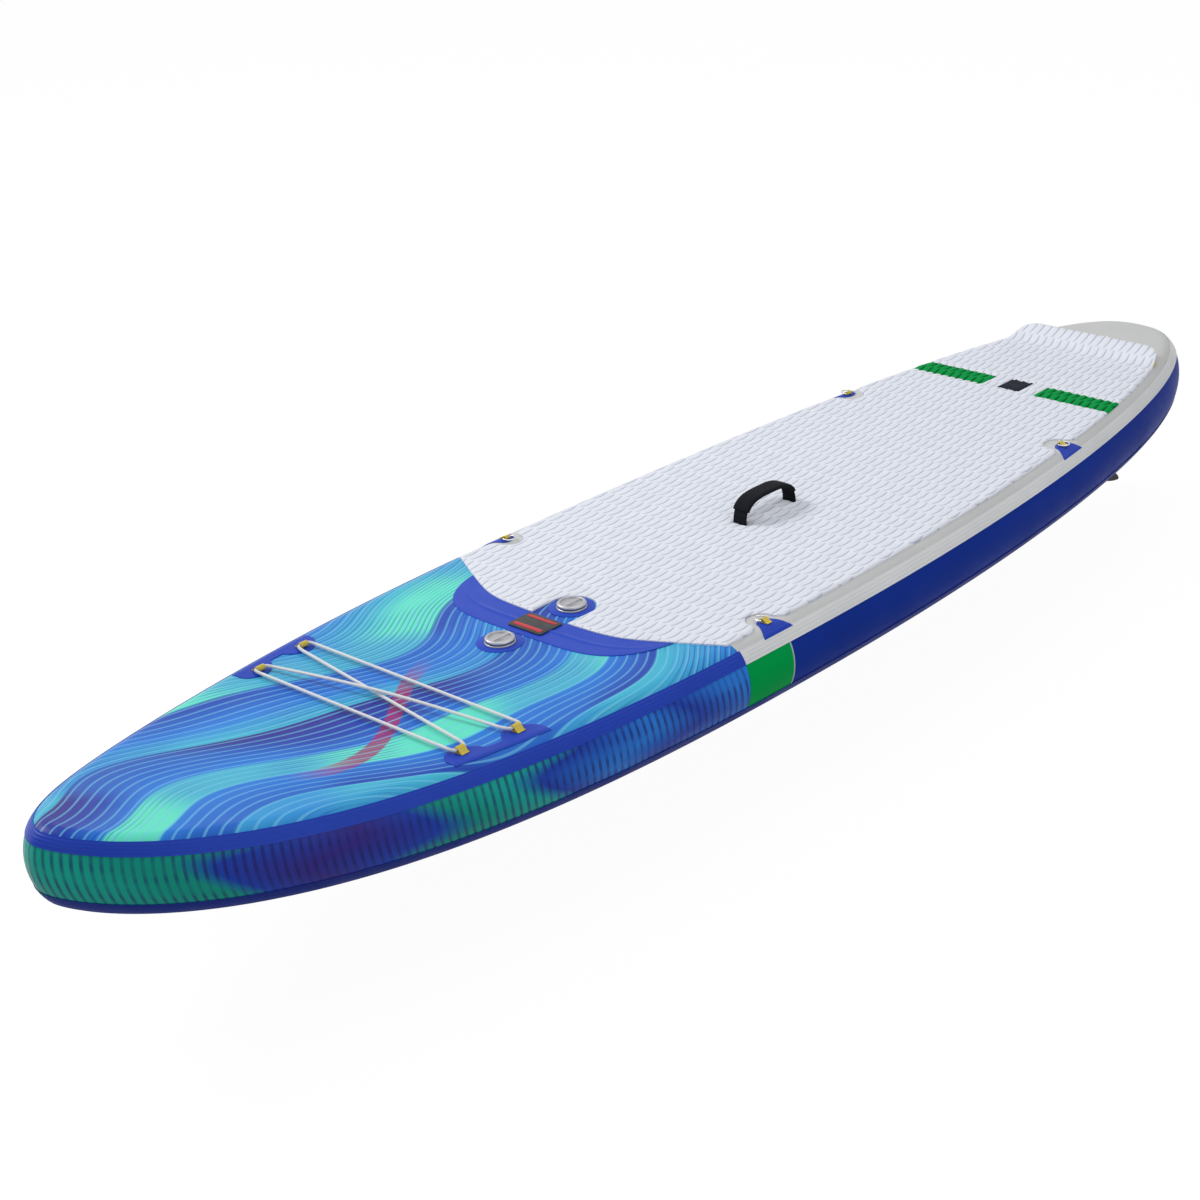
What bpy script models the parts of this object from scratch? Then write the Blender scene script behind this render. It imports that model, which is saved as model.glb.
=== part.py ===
"""Inflatable stand up paddleboard: hull skins, deck gear, two air valves and a slide-in centre fin.

Metres. +X runs to the nose, +Y to port and +Z up. The origin is on the flat of the hull's bottom, at
half length.
"""
import bmesh
import bpy
import math
from mathutils import Vector

# Hull
LENGTH = 3.302
WIDTH = 0.8128
THICKNESS = 0.1524
WIDEST_X = 0.158
NOSE_POWER = 2.38
NOSE_ROOT = 1.70
TAIL_POWER = 2.0
TAIL_ROOT = 2.36
NOSE_ROCKER = 0.077
NOSE_ROCKER_POWER = 5.5
TAIL_ROCKER = 0.025
RAIL_DEPTH = 0.055
SKIN = 0.0025
SEAM_ANGLE = 47.0
SEAM_GAP_ANGLE = 0.3
COLOUR_BREAK_X = 0.335
TAPE_LOW_ANGLE = 35.0
TAPE_HIGH_ANGLE = 60.0
TAPE = 0.0010
CHAMBER_INSET = 0.066
CHAMBER_ROUND = 0.014

# Fits
GAP = 0.0003
LAID_GAP = 0.0006

# Deck pad
PAD = 0.005
PAD_INSET = 0.052
PAD_FRONT_X = 0.453
PAD_FRONT_BEND_Y = 0.170
PAD_FRONT_BLEND = 0.050
PAD_FRONT_SLOPE = 0.565
PAD_REAR_X = -1.42
PAD_CORNER = 0.050
KICK_START_X = -1.350
KICK_HEIGHT = 0.026
KICK_LIP = 0.010
STRIPE_X = -1.095
STRIPE_WIDTH = 0.060
STRIPE_INNER_Y = 0.072
SQUARE_X = -1.098
SQUARE_LENGTH = 0.060
SQUARE_WIDTH = 0.058

# Glued patches
PATCH = 0.0012
YOKE_FRONT_X = 0.536
YOKE_HALF_SPAN = 0.270
YOKE_POWER = 5.0
YOKE_ROOT = 1.4
BADGE_X = 0.4895
BADGE_LENGTH = 0.064
BADGE_WIDTH = 0.089
BADGE = 0.003
BADGE_CORNER = 0.006

# Air valves
VALVE_FRONT_X = 0.584
VALVE_REAR_X = 0.388
VALVE_PATCH_RADIUS = 0.046
NOTCH_CLEARANCE = 0.003
FLANGE_RADIUS = 0.0335
FLANGE = 0.003
THROAT_RADIUS = 0.0155
THROAT_WALL = 0.0035
THROAT_LENGTH = 0.030
WEB_TOP = 0.017
WEB = 0.003
STEM_RADIUS = 0.0030
STEM_CLEARANCE = 0.0004
BUTTON_RADIUS = 0.0064
BUTTON = 0.002
BUTTON_DEPTH = 0.006
POPPET_RADIUS = 0.0180
POPPET = 0.003
AIR_HOLE_RADIUS = 0.0032
AIR_HOLE_CIRCLE = 0.0106
AIR_HOLE_START = 0.131
NUT_RADIUS = 0.027
NUT = 0.005
SPRING_WIRE = 0.0005
SPRING_RADIUS = 0.0046
SPRING_TURNS = 4
CAP_RADIUS = 0.032
CAP = 0.008
CAP_EDGE = 0.001
CAP_SHOULDER = 0.0045
GASKET = 0.0012
GRIP_BAR_WIDTH = 0.010
GRIP_POCKET_RADIUS = 0.0245
GRIP_POCKET = 0.004
POCKET_CLEARANCE = 0.008

# Tie-down rings
RING_FRONT_X = 0.222
RING_REAR_X = -0.848
RING_INSET = 0.060
RING_WIRE = 0.0022
RING_BAR = 0.030
RING_REACH = 0.024
RING_STRAIGHT = 0.75
RING_SHOULDER = 0.0029
RING_NOTCH_RADIUS = 0.030
RING_NOTCH_DEPTH = 0.0385
RING_NOTCH_MOUTH = 0.100
LOOP_WEBBING = 0.0014
LOOP_WIDTH = 0.018
LOOP_TAIL = 0.020
LOOP_CLEARANCE = 0.0006
RING_PATCH_BASE = 0.078
RING_PATCH_TIP = 0.036
RING_PATCH_INNER = 0.072
RING_PATCH_BOW = 0.008
LEASH_X = -1.455
LEASH_PATCH_RADIUS = 0.030
LEASH_PATCH_TIP = 0.004

# Bungee
CORD_RADIUS = 0.0032
BUNGEE_FRONT_X = 0.947
BUNGEE_REAR_X = 0.827
BUNGEE_INSET = 0.087
BUNGEE_LOOP_WIDTH = 0.018
BUNGEE_PATCH_MARGIN = 0.042
BUNGEE_PATCH_VALLEY = 0.070
BUNGEE_PATCH_HUMP = 0.036
CORD_TURN = 0.0065
CORD_LEAD = 0.024
CORD_LIFT = 0.0085

# Carry handle
HANDLE_FRONT_X = -0.115
HANDLE_REAR_X = -0.275
HANDLE_RISE = 0.047
HANDLE_LEG_POWER = 0.6
HANDLE_ARCH_POWER = 0.75
STRAP = 0.0035
STRAP_WIDTH = 0.034
GRIP = 0.0040
GRIP_WIDTH = 0.042
SLOT_CLEARANCE = 0.004

# Fin and fin box, in the box's own frame, heights below the hull
FIN_X = -1.300
BOX_LENGTH = 0.270
BOX_WIDTH = 0.036
BOX_HEIGHT = 0.0220
BOX_PATCH_LENGTH = 0.360
BOX_PATCH_WIDTH = 0.130
SLOT_LENGTH = 0.236
SLOT_WIDTH = 0.0106
SLOT_ROOF = 0.0085
CHANNEL_WIDTH = 0.0166
CHANNEL_HEIGHT = 0.0065
TAB_LENGTH = 0.172
TAB_CLEARANCE = 0.0003
EAR_LENGTH = 0.028
EAR_HEIGHT = 0.006
BLADE_DEPTH = 0.209
BLADE_CHORD = 0.140
BLADE_THICKNESS = 0.0086
BLADE_SWEEP = 0.262
BLADE_SWEEP_POWER = 1.6
BLADE_TAIL_SWEEP = 0.168
BLADE_TAIL_POWER = 1.8
BLADE_FULLNESS = 0.25
BLADE_TIP_SHARE = 0.10
BLADE_TIP_CHORD = 0.012
BLADE_TAPER = 0.72
BLADE_ROOT_OVERLAP = 0.03
BOSS_LENGTH = 0.030
SCREW_STAND = 0.0008
SCREW_RADIUS = 0.0022
SCREW_HEAD_RADIUS = 0.0042
SCREW_HEAD = 0.003
PLATE_NUT = 0.0026
PIN_RADIUS = 0.0022

# Facets
OUTLINE_STEPS = 56
SHOULDER_STEPS = 3
WALL_STEPS = 4
TAPE_STEPS = 2
ROUND_STEPS = 20
SMALL_STEPS = 12

NOSE_RUN = LENGTH / 2 - WIDEST_X
TAIL_RUN = LENGTH / 2 + WIDEST_X
HALF_HEIGHT = THICKNESS / 2

for old in list(bpy.data.objects):
    bpy.data.objects.remove(old, do_unlink=True)


def material(name, colour, roughness=0.5, metallic=0.0):
    made = bpy.data.materials.get(name)
    if made:
        return made
    made = bpy.data.materials.new(name)
    made.use_nodes = True
    shader = made.node_tree.nodes["Principled BSDF"]
    shader.inputs["Base Color"].default_value = (*colour, 1.0)
    shader.inputs["Roughness"].default_value = roughness
    shader.inputs["Metallic"].default_value = metallic
    return made


ART = material("printed_hull", (0.10, 0.35, 0.75), 0.35)
BLUE = material("royal_blue_pvc", (0.030, 0.070, 0.42), 0.38)
PALE = material("pale_tape", (0.70, 0.70, 0.69), 0.45)
DECK = material("deck_fabric", (0.16, 0.45, 0.78), 0.42)
CORE = material("drop_stitch_core", (0.75, 0.75, 0.72), 0.8)
FOAM = material("pad_foam", (0.76, 0.78, 0.84), 0.75)
GREEN = material("green_foam", (0.010, 0.28, 0.06), 0.75)
DARK = material("dark_foam", (0.020, 0.022, 0.028), 0.75)
RUBBER = material("black_rubber", (0.012, 0.012, 0.014), 0.5)
SILVER = material("silver_plastic", (0.48, 0.48, 0.47), 0.35)
NYLON = material("black_nylon", (0.015, 0.015, 0.016), 0.45)
WHITE = material("white_cord", (0.86, 0.86, 0.84), 0.6)
YELLOW = material("yellow_webbing", (0.80, 0.55, 0.06), 0.7)
STEEL = material("stainless_steel", (0.62, 0.62, 0.60), 0.25, 1.0)
WEBBING = material("black_webbing", (0.012, 0.012, 0.015), 0.8)


def rocker(x):
    if x > 0:
        return NOSE_ROCKER * (x / (LENGTH / 2)) ** NOSE_ROCKER_POWER
    return TAIL_ROCKER * (x / (LENGTH / 2)) ** 2


def rocker_slope(x):
    step = 0.001
    return (rocker(x + step) - rocker(x - step)) / (2 * step)


def half_width(x, inset=0.0):
    """Half the plan width at x, on the outline drawn in by inset."""
    if x >= WIDEST_X:
        reach, power, root = NOSE_RUN - inset, NOSE_POWER, NOSE_ROOT
    else:
        reach, power, root = TAIL_RUN - inset, TAIL_POWER, TAIL_ROOT
    share = min(1.0, abs(x - WIDEST_X) / reach)
    return (WIDTH / 2 - inset) * (1.0 - share ** power) ** (1.0 / root)


def shoulder(inset):
    """Height of the hull's top above its bottom, where the outline is drawn in by inset."""
    lean = max(0.0, 1.0 - inset / RAIL_DEPTH)
    return HALF_HEIGHT * (1.0 + math.sqrt(1.0 - lean ** 2))


def deck(x, inset=RAIL_DEPTH):
    return shoulder(inset) + rocker(x)


def rail_point(angle, sink=0.0):
    """Inset and height of the rail's round, sink below its surface, at an angle up from mid height."""
    turn = math.radians(angle)
    inset = RAIL_DEPTH - (RAIL_DEPTH - sink) * math.cos(turn)
    return inset, HALF_HEIGHT + (HALF_HEIGHT - sink) * math.sin(turn)


def outline_point(turn, inset, height):
    reach = NOSE_RUN if math.cos(turn) >= 0 else TAIL_RUN
    x = WIDEST_X + (reach - inset) * math.cos(turn)
    y = math.copysign(half_width(x, inset), math.sin(turn))
    return x, y, height + rocker(x)


def turn_at(x, inset=0.0):
    reach = NOSE_RUN if x >= WIDEST_X else TAIL_RUN
    return math.acos((x - WIDEST_X) / (reach - inset))


def turns_between(low, high):
    """The outline's own steps between two turns, and the two ends."""
    step = 2 * math.pi / OUTLINE_STEPS
    inner = range(math.floor(low / step) + 1, math.ceil(high / step))
    return [low] + [step * i for i in inner] + [high]


def add_object(name, verts, faces, look, smooth=35.0):
    mesh = bpy.data.meshes.new(name)
    mesh.from_pydata(verts, [], faces)
    body = bmesh.new()
    body.from_mesh(mesh)
    bmesh.ops.remove_doubles(body, verts=body.verts, dist=1e-6)
    bmesh.ops.recalc_face_normals(body, faces=body.faces)
    body.to_mesh(mesh)
    body.free()
    mesh.shade_smooth()
    mesh.set_sharp_from_angle(angle=math.radians(smooth))
    made = bpy.data.objects.new(name, mesh)
    bpy.context.scene.collection.objects.link(made)
    if look:
        mesh.materials.append(look)
    return made


def make_cutter(made):
    made.hide_render = True
    made.display_type = "WIRE"
    return made


def cut(made, cutter, operation="DIFFERENCE"):
    change = made.modifiers.new(cutter.name, "BOOLEAN")
    change.operation = operation
    change.solver = "EXACT"
    change.object = make_cutter(cutter)


def ring_faces(first, second, count, closed=True):
    steps = count if closed else count - 1
    return [(first + i, first + (i + 1) % count, second + (i + 1) % count, second + i) for i in range(steps)]


def across_faces(start, count):
    """Strips from port to starboard that fill an outline ring."""
    half = count // 2
    faces = [(start, start + 1, start + count - 1)]
    for i in range(1, half - 1):
        faces.append((start + i, start + i + 1, start + count - i - 1, start + count - i))
    faces.append((start + half - 1, start + half, start + half + 1))
    return faces


def hull_sheet(name, rows, look):
    """A closed body of outline rings, the first and last of them filled across."""
    turns = [2 * math.pi * i / OUTLINE_STEPS for i in range(OUTLINE_STEPS)]
    verts = [outline_point(turn, *row) for row in rows for turn in turns]
    faces = across_faces(0, OUTLINE_STEPS)
    for i in range(len(rows) - 1):
        faces += ring_faces(i * OUTLINE_STEPS, (i + 1) * OUTLINE_STEPS, OUTLINE_STEPS)
    faces += across_faces((len(rows) - 1) * OUTLINE_STEPS, OUTLINE_STEPS)
    return add_object(name, verts, faces, look)


def hull_band(name, section, turns, closed, look):
    """A closed section of (inset, height) points carried along the outline."""
    size = len(section)
    verts = [outline_point(turn, *point) for turn in turns for point in section]
    count = len(turns)
    faces = []
    for i in range(count if closed else count - 1):
        faces += ring_faces(i * size, (i + 1) % count * size, size)
    if not closed:
        faces.append(tuple(range(size)))
        faces.append(tuple(range((count - 1) * size, count * size)))
    return add_object(name, verts, faces, look)


def plate(name, stations, y_low, y_high, z_low, z_high, look):
    """A closed plate whose edges and faces are functions of x."""
    verts = []
    for x in stations:
        verts += [
            (x, y_low(x), z_low(x)),
            (x, y_high(x), z_low(x)),
            (x, y_high(x), z_high(x)),
            (x, y_low(x), z_high(x)),
        ]
    faces = [(0, 1, 2, 3)]
    for i in range(len(stations) - 1):
        faces += ring_faces(4 * i, 4 * i + 4, 4)
    last = 4 * len(stations) - 4
    faces.append((last, last + 1, last + 2, last + 3))
    return add_object(name, verts, faces, look)


def prism(name, outline, low, high, look, along="z"):
    """An outline drawn out between two heights, along z or across y."""
    count = len(outline)
    if along == "z":
        verts = [(a, b, h) for h in (low, high) for a, b in outline]
    else:
        verts = [(a, h, b) for h in (low, high) for a, b in outline]
    faces = ring_faces(0, count, count)
    faces.append(tuple(range(count)))
    faces.append(tuple(range(count, 2 * count)))
    return add_object(name, verts, faces, look)


def turned(name, profile, look, steps=ROUND_STEPS):
    """A closed (radius, height) profile turned about z."""
    count = len(profile)
    verts = []
    for i in range(steps):
        turn = 2 * math.pi * i / steps
        verts += [(r * math.cos(turn), r * math.sin(turn), z) for r, z in profile]
    faces = []
    for i in range(steps):
        near, far = i * count, (i + 1) % steps * count
        for k in range(count):
            after = (k + 1) % count
            corner = [near + k, far + k, far + after, near + after]
            if profile[k][0] == 0.0 and profile[after][0] == 0.0:
                continue
            if profile[k][0] == 0.0:
                corner = [near + k, far + after, near + after]
            elif profile[after][0] == 0.0:
                corner = [near + k, far + k, near + after]
            faces.append(tuple(corner))
    return add_object(name, verts, faces, look)


def tube(name, points, radius, look, cyclic=False, resolution=2):
    data = bpy.data.curves.new(name, "CURVE")
    data.dimensions = "3D"
    data.bevel_depth = radius
    data.bevel_resolution = resolution
    data.use_fill_caps = True
    line = data.splines.new("POLY")
    line.points.add(len(points) - 1)
    for spot, point in zip(line.points, points):
        spot.co = (*point, 1.0)
    line.use_cyclic_u = cyclic
    data.materials.append(look)
    made = bpy.data.objects.new(name, data)
    bpy.context.scene.collection.objects.link(made)
    return made


def circle(radius, x=0.0, y=0.0, steps=ROUND_STEPS):
    turns = [2 * math.pi * i / steps for i in range(steps)]
    return [(x + radius * math.cos(turn), y + radius * math.sin(turn)) for turn in turns]


def rounded_box(length, width, radius, x=0.0, y=0.0, steps=4):
    points = []
    for quarter, (sx, sy) in enumerate(((1, 1), (-1, 1), (-1, -1), (1, -1))):
        for i in range(steps + 1):
            turn = math.pi / 2 * (quarter + i / steps)
            points.append((
                x + sx * (length / 2 - radius) + radius * math.cos(turn),
                y + sy * (width / 2 - radius) + radius * math.sin(turn),
            ))
    return points


def spread(low, high, steps):
    return [low + (high - low) * i / steps for i in range(steps + 1)]


def inward(x, side):
    """Rotation about z that points a piece's own +Y from the rail to the middle of the deck."""
    step = 0.001
    slope = (half_width(x + step, RING_INSET) - half_width(x - step, RING_INSET)) / (2 * step)
    return math.atan2(-side, slope) - math.pi / 2


SHOULDER_ANGLES = spread(90.0, SEAM_ANGLE + SEAM_GAP_ANGLE, SHOULDER_STEPS)


def shoulder_insets():
    """Insets of the deck's rings between the tape and the flat, from the rail inwards."""
    return [rail_point(angle)[0] for angle in reversed(SHOULDER_ANGLES) if angle > TAPE_HIGH_ANGLE]


# Hull skins: deck and bottom sheets, rail wall and seam tapes
def make_hull():
    outer = [rail_point(angle) for angle in SHOULDER_ANGLES]
    inner = [rail_point(angle, SKIN) for angle in reversed(SHOULDER_ANGLES)]
    deck_rows = outer + inner
    deck_panel = hull_sheet("deck_panel", deck_rows, DECK)
    hull_sheet("bottom_panel", [(inset, THICKNESS - height) for inset, height in deck_rows], BLUE)

    wall_angles = spread(SEAM_ANGLE, -SEAM_ANGLE, WALL_STEPS)
    wall = [rail_point(angle) for angle in wall_angles]
    wall += [rail_point(angle, SKIN) for angle in reversed(wall_angles)]
    tape_angles = spread(TAPE_LOW_ANGLE, TAPE_HIGH_ANGLE, TAPE_STEPS)
    top_tape = [rail_point(angle, -LAID_GAP) for angle in tape_angles]
    top_tape += [rail_point(angle, -LAID_GAP - TAPE) for angle in reversed(tape_angles)]
    bottom_tape = [(inset, THICKNESS - height) for inset, height in top_tape]

    split = turn_at(COLOUR_BREAK_X)
    gap_turn = GAP / NOSE_RUN
    front = turns_between(-split, split)
    rear = turns_between(split + gap_turn, 2 * math.pi - split - gap_turn)
    hull_band("rail_wall_front", wall, front, False, ART)
    hull_band("rail_wall_rear", wall, rear, False, BLUE)
    hull_band("top_tape_front", top_tape, front, False, BLUE)
    hull_band("top_tape_rear", top_tape, rear, False, PALE)
    whole = [2 * math.pi * i / OUTLINE_STEPS for i in range(OUTLINE_STEPS)]
    hull_band("bottom_tape", bottom_tape, whole, True, BLUE)
    return deck_panel


def make_inner_chamber():
    low = SKIN + GAP
    high = THICKNESS - SKIN - GAP
    flat = CHAMBER_INSET + CHAMBER_ROUND
    rows = [
        (flat, high),
        (CHAMBER_INSET, high - CHAMBER_ROUND),
        (CHAMBER_INSET, low + CHAMBER_ROUND),
        (flat, low),
    ]
    return hull_sheet("inner_chamber", rows, CORE)


# Deck pad with its kick, inlays and cut-outs
def kick(x):
    """Height of the kick's wedge, rising smoothly to the pad's rear edge."""
    share = min(1.0, max(0.0, (KICK_START_X - x) / (KICK_START_X - PAD_REAR_X)))
    return KICK_HEIGHT * share * share * (3.0 - 2.0 * share)


def pad_low(x):
    lift = kick(x) + GAP if x < KICK_START_X else 0.0
    return deck(x) + LAID_GAP + lift


def pad_high(x):
    return pad_low(x) + PAD


def pad_edge(x):
    """Half the pad's width at x, with its two rear corners rounded."""
    back = max(0.0, PAD_CORNER - (x - PAD_REAR_X))
    return half_width(x, PAD_INSET) - PAD_CORNER + math.sqrt(PAD_CORNER ** 2 - back ** 2)


def front_edge(y):
    """The pad's front edge: straight across the middle, then bending back to each corner."""
    past = abs(y) - PAD_FRONT_BEND_Y
    return PAD_FRONT_X - PAD_FRONT_SLOPE * (past + math.hypot(past, PAD_FRONT_BLEND)) / 2


def front_edge_points(ahead):
    """Points of the front edge from the rear valve's notch to the yoke's tip, port side."""
    notch = VALVE_PATCH_RADIUS + NOTCH_CLEARANCE
    return [(front_edge(y) + ahead, y) for y in spread(notch, YOKE_HALF_SPAN, 10)]


def mirrored(points):
    return [(x, -y) for x, y in reversed(points)]


def front_cutter():
    notch = VALVE_PATCH_RADIUS + NOTCH_CLEARANCE
    edge = front_edge_points(0.0) + [(front_edge(WIDTH / 2), WIDTH / 2)]
    outline = mirrored(edge)
    outline += [
        (VALVE_REAR_X - notch * math.sin(turn), -notch * math.cos(turn))
        for turn in spread(0.0, math.pi, 12)
    ]
    outline += edge
    outline += [(YOKE_FRONT_X, WIDTH / 2), (YOKE_FRONT_X, -WIDTH / 2)]
    return prism("pad_front_cutter", outline, HALF_HEIGHT, THICKNESS + HALF_HEIGHT, None)


def ring_notch_cutter(name, x, side):
    """A round-bottomed notch that flares to its mouth at the pad's edge."""
    middle = RING_NOTCH_DEPTH - RING_NOTCH_RADIUS
    fall = middle + RING_INSET - PAD_INSET
    flare = RING_NOTCH_MOUTH / 2 - RING_NOTCH_RADIUS
    outline = [(RING_NOTCH_MOUTH / 2, -RING_INSET)]
    outline += [(RING_NOTCH_RADIUS + flare * t ** 2, middle - fall * t) for t in spread(1.0, 0.25, 3)]
    outline += circle(RING_NOTCH_RADIUS, 0.0, middle)[:ROUND_STEPS // 2 + 1]
    outline += [(-RING_NOTCH_RADIUS - flare * t ** 2, middle - fall * t) for t in spread(0.25, 1.0, 3)]
    outline.append((-RING_NOTCH_MOUTH / 2, -RING_INSET))
    made = prism(name, outline, -HALF_HEIGHT, HALF_HEIGHT, None)
    made.location = (x, side * half_width(x, RING_INSET), deck(x))
    made.rotation_euler.z = inward(x, side)
    return made


def below_pad(x):
    return deck(x) - PAD


def above_pad(x):
    return deck(x) + 3 * PAD


def slab(name, x, length, width, low, high, look):
    """A rectangle of the pad about the centre line."""
    half = width / 2
    stations = (x - length / 2, x + length / 2)
    return plate(name, stations, lambda _: -half, lambda _: half, low, high, look)


def stripe(name, side, margin, outer, low, high, look):
    """A band of the pad from its inner end out to a rail-side edge."""
    reach = STRIPE_WIDTH / 2 + margin
    stations = spread(STRIPE_X - reach, STRIPE_X + reach, 2)

    def inner(_):
        return side * (STRIPE_INNER_Y - margin)

    return plate(name, stations, inner, lambda x: side * outer(x), low, high, look)


def kick_stations():
    """Stations of the kick's wedge, close together round the pad's rear corners."""
    corner = [PAD_REAR_X + PAD_CORNER * (1.0 - math.cos(turn)) for turn in spread(0.0, math.pi / 2, 4)]
    return corner + spread(corner[-1], KICK_START_X - KICK_LIP, 6)[1:]


def make_pad():
    stations = kick_stations() + spread(KICK_START_X, PAD_FRONT_X, 20)
    pad = plate("deck_pad", stations, lambda x: -pad_edge(x), pad_edge, pad_low, pad_high, FOAM)
    cut(pad, front_cutter())
    for name, x in (("front", RING_FRONT_X), ("rear", RING_REAR_X)):
        for side_name, side in (("port", 1), ("starboard", -1)):
            cut(pad, ring_notch_cutter(f"notch_cutter_{name}_{side_name}", x, side))

    for side_name, side in (("port", 1), ("starboard", -1)):
        cutter = f"stripe_cutter_{side_name}"
        cut(pad, stripe(cutter, side, GAP, half_width, below_pad, above_pad, None))
        stripe(f"green_stripe_{side_name}", side, 0.0, pad_edge, pad_low, pad_high, GREEN)
    hole = (SQUARE_LENGTH + 2 * GAP, SQUARE_WIDTH + 2 * GAP)
    cut(pad, slab("square_cutter", SQUARE_X, *hole, below_pad, above_pad, None))
    slab("dark_square", SQUARE_X, SQUARE_LENGTH, SQUARE_WIDTH, pad_low, pad_high, DARK)
    slot = (2 * STRAP + 2 * SLOT_CLEARANCE, STRAP_WIDTH + 4 * SLOT_CLEARANCE)
    for name, x in (("front", HANDLE_FRONT_X), ("rear", HANDLE_REAR_X)):
        cut(pad, slab(f"slot_cutter_{name}", x, *slot, below_pad, above_pad, None))

    def wedge_low(x):
        return deck(x) + LAID_GAP

    def wedge_high(x):
        return wedge_low(x) + kick(x)

    plate("kick_wedge", kick_stations(), lambda x: -pad_edge(x), pad_edge, wedge_low, wedge_high, FOAM)


# Yoke patch, badge and the round patches under the valves
def make_yoke():
    low = THICKNESS + LAID_GAP
    tip = front_edge(YOKE_HALF_SPAN) + GAP
    rise = YOKE_FRONT_X - tip
    outline = []
    for turn in spread(-math.pi / 2, math.pi / 2, 26):
        share = math.sin(turn)
        ahead = rise * (1.0 - abs(share) ** YOKE_POWER) ** (1.0 / YOKE_ROOT)
        outline.append((tip + ahead, YOKE_HALF_SPAN * share))
    edge = front_edge_points(GAP)[:-1]
    outline += edge[::-1] + mirrored(edge)[::-1]
    yoke = prism("yoke_patch", outline, low, low + PATCH, BLUE)
    patches = {}
    for name, x in (("front", VALVE_FRONT_X), ("rear", VALVE_REAR_X)):
        clear = VALVE_PATCH_RADIUS + GAP
        cut(yoke, prism(f"yoke_cutter_{name}", circle(clear, x), 0.0, 2 * THICKNESS, None))
        patches[name] = prism(f"valve_patch_{name}", circle(VALVE_PATCH_RADIUS, x), low, low + PATCH, BLUE)
    badge_low = low + PATCH + GAP
    badge = rounded_box(BADGE_LENGTH, BADGE_WIDTH, BADGE_CORNER, BADGE_X)
    prism("yoke_badge", badge, badge_low, badge_low + BADGE, RUBBER)
    return patches


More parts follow.
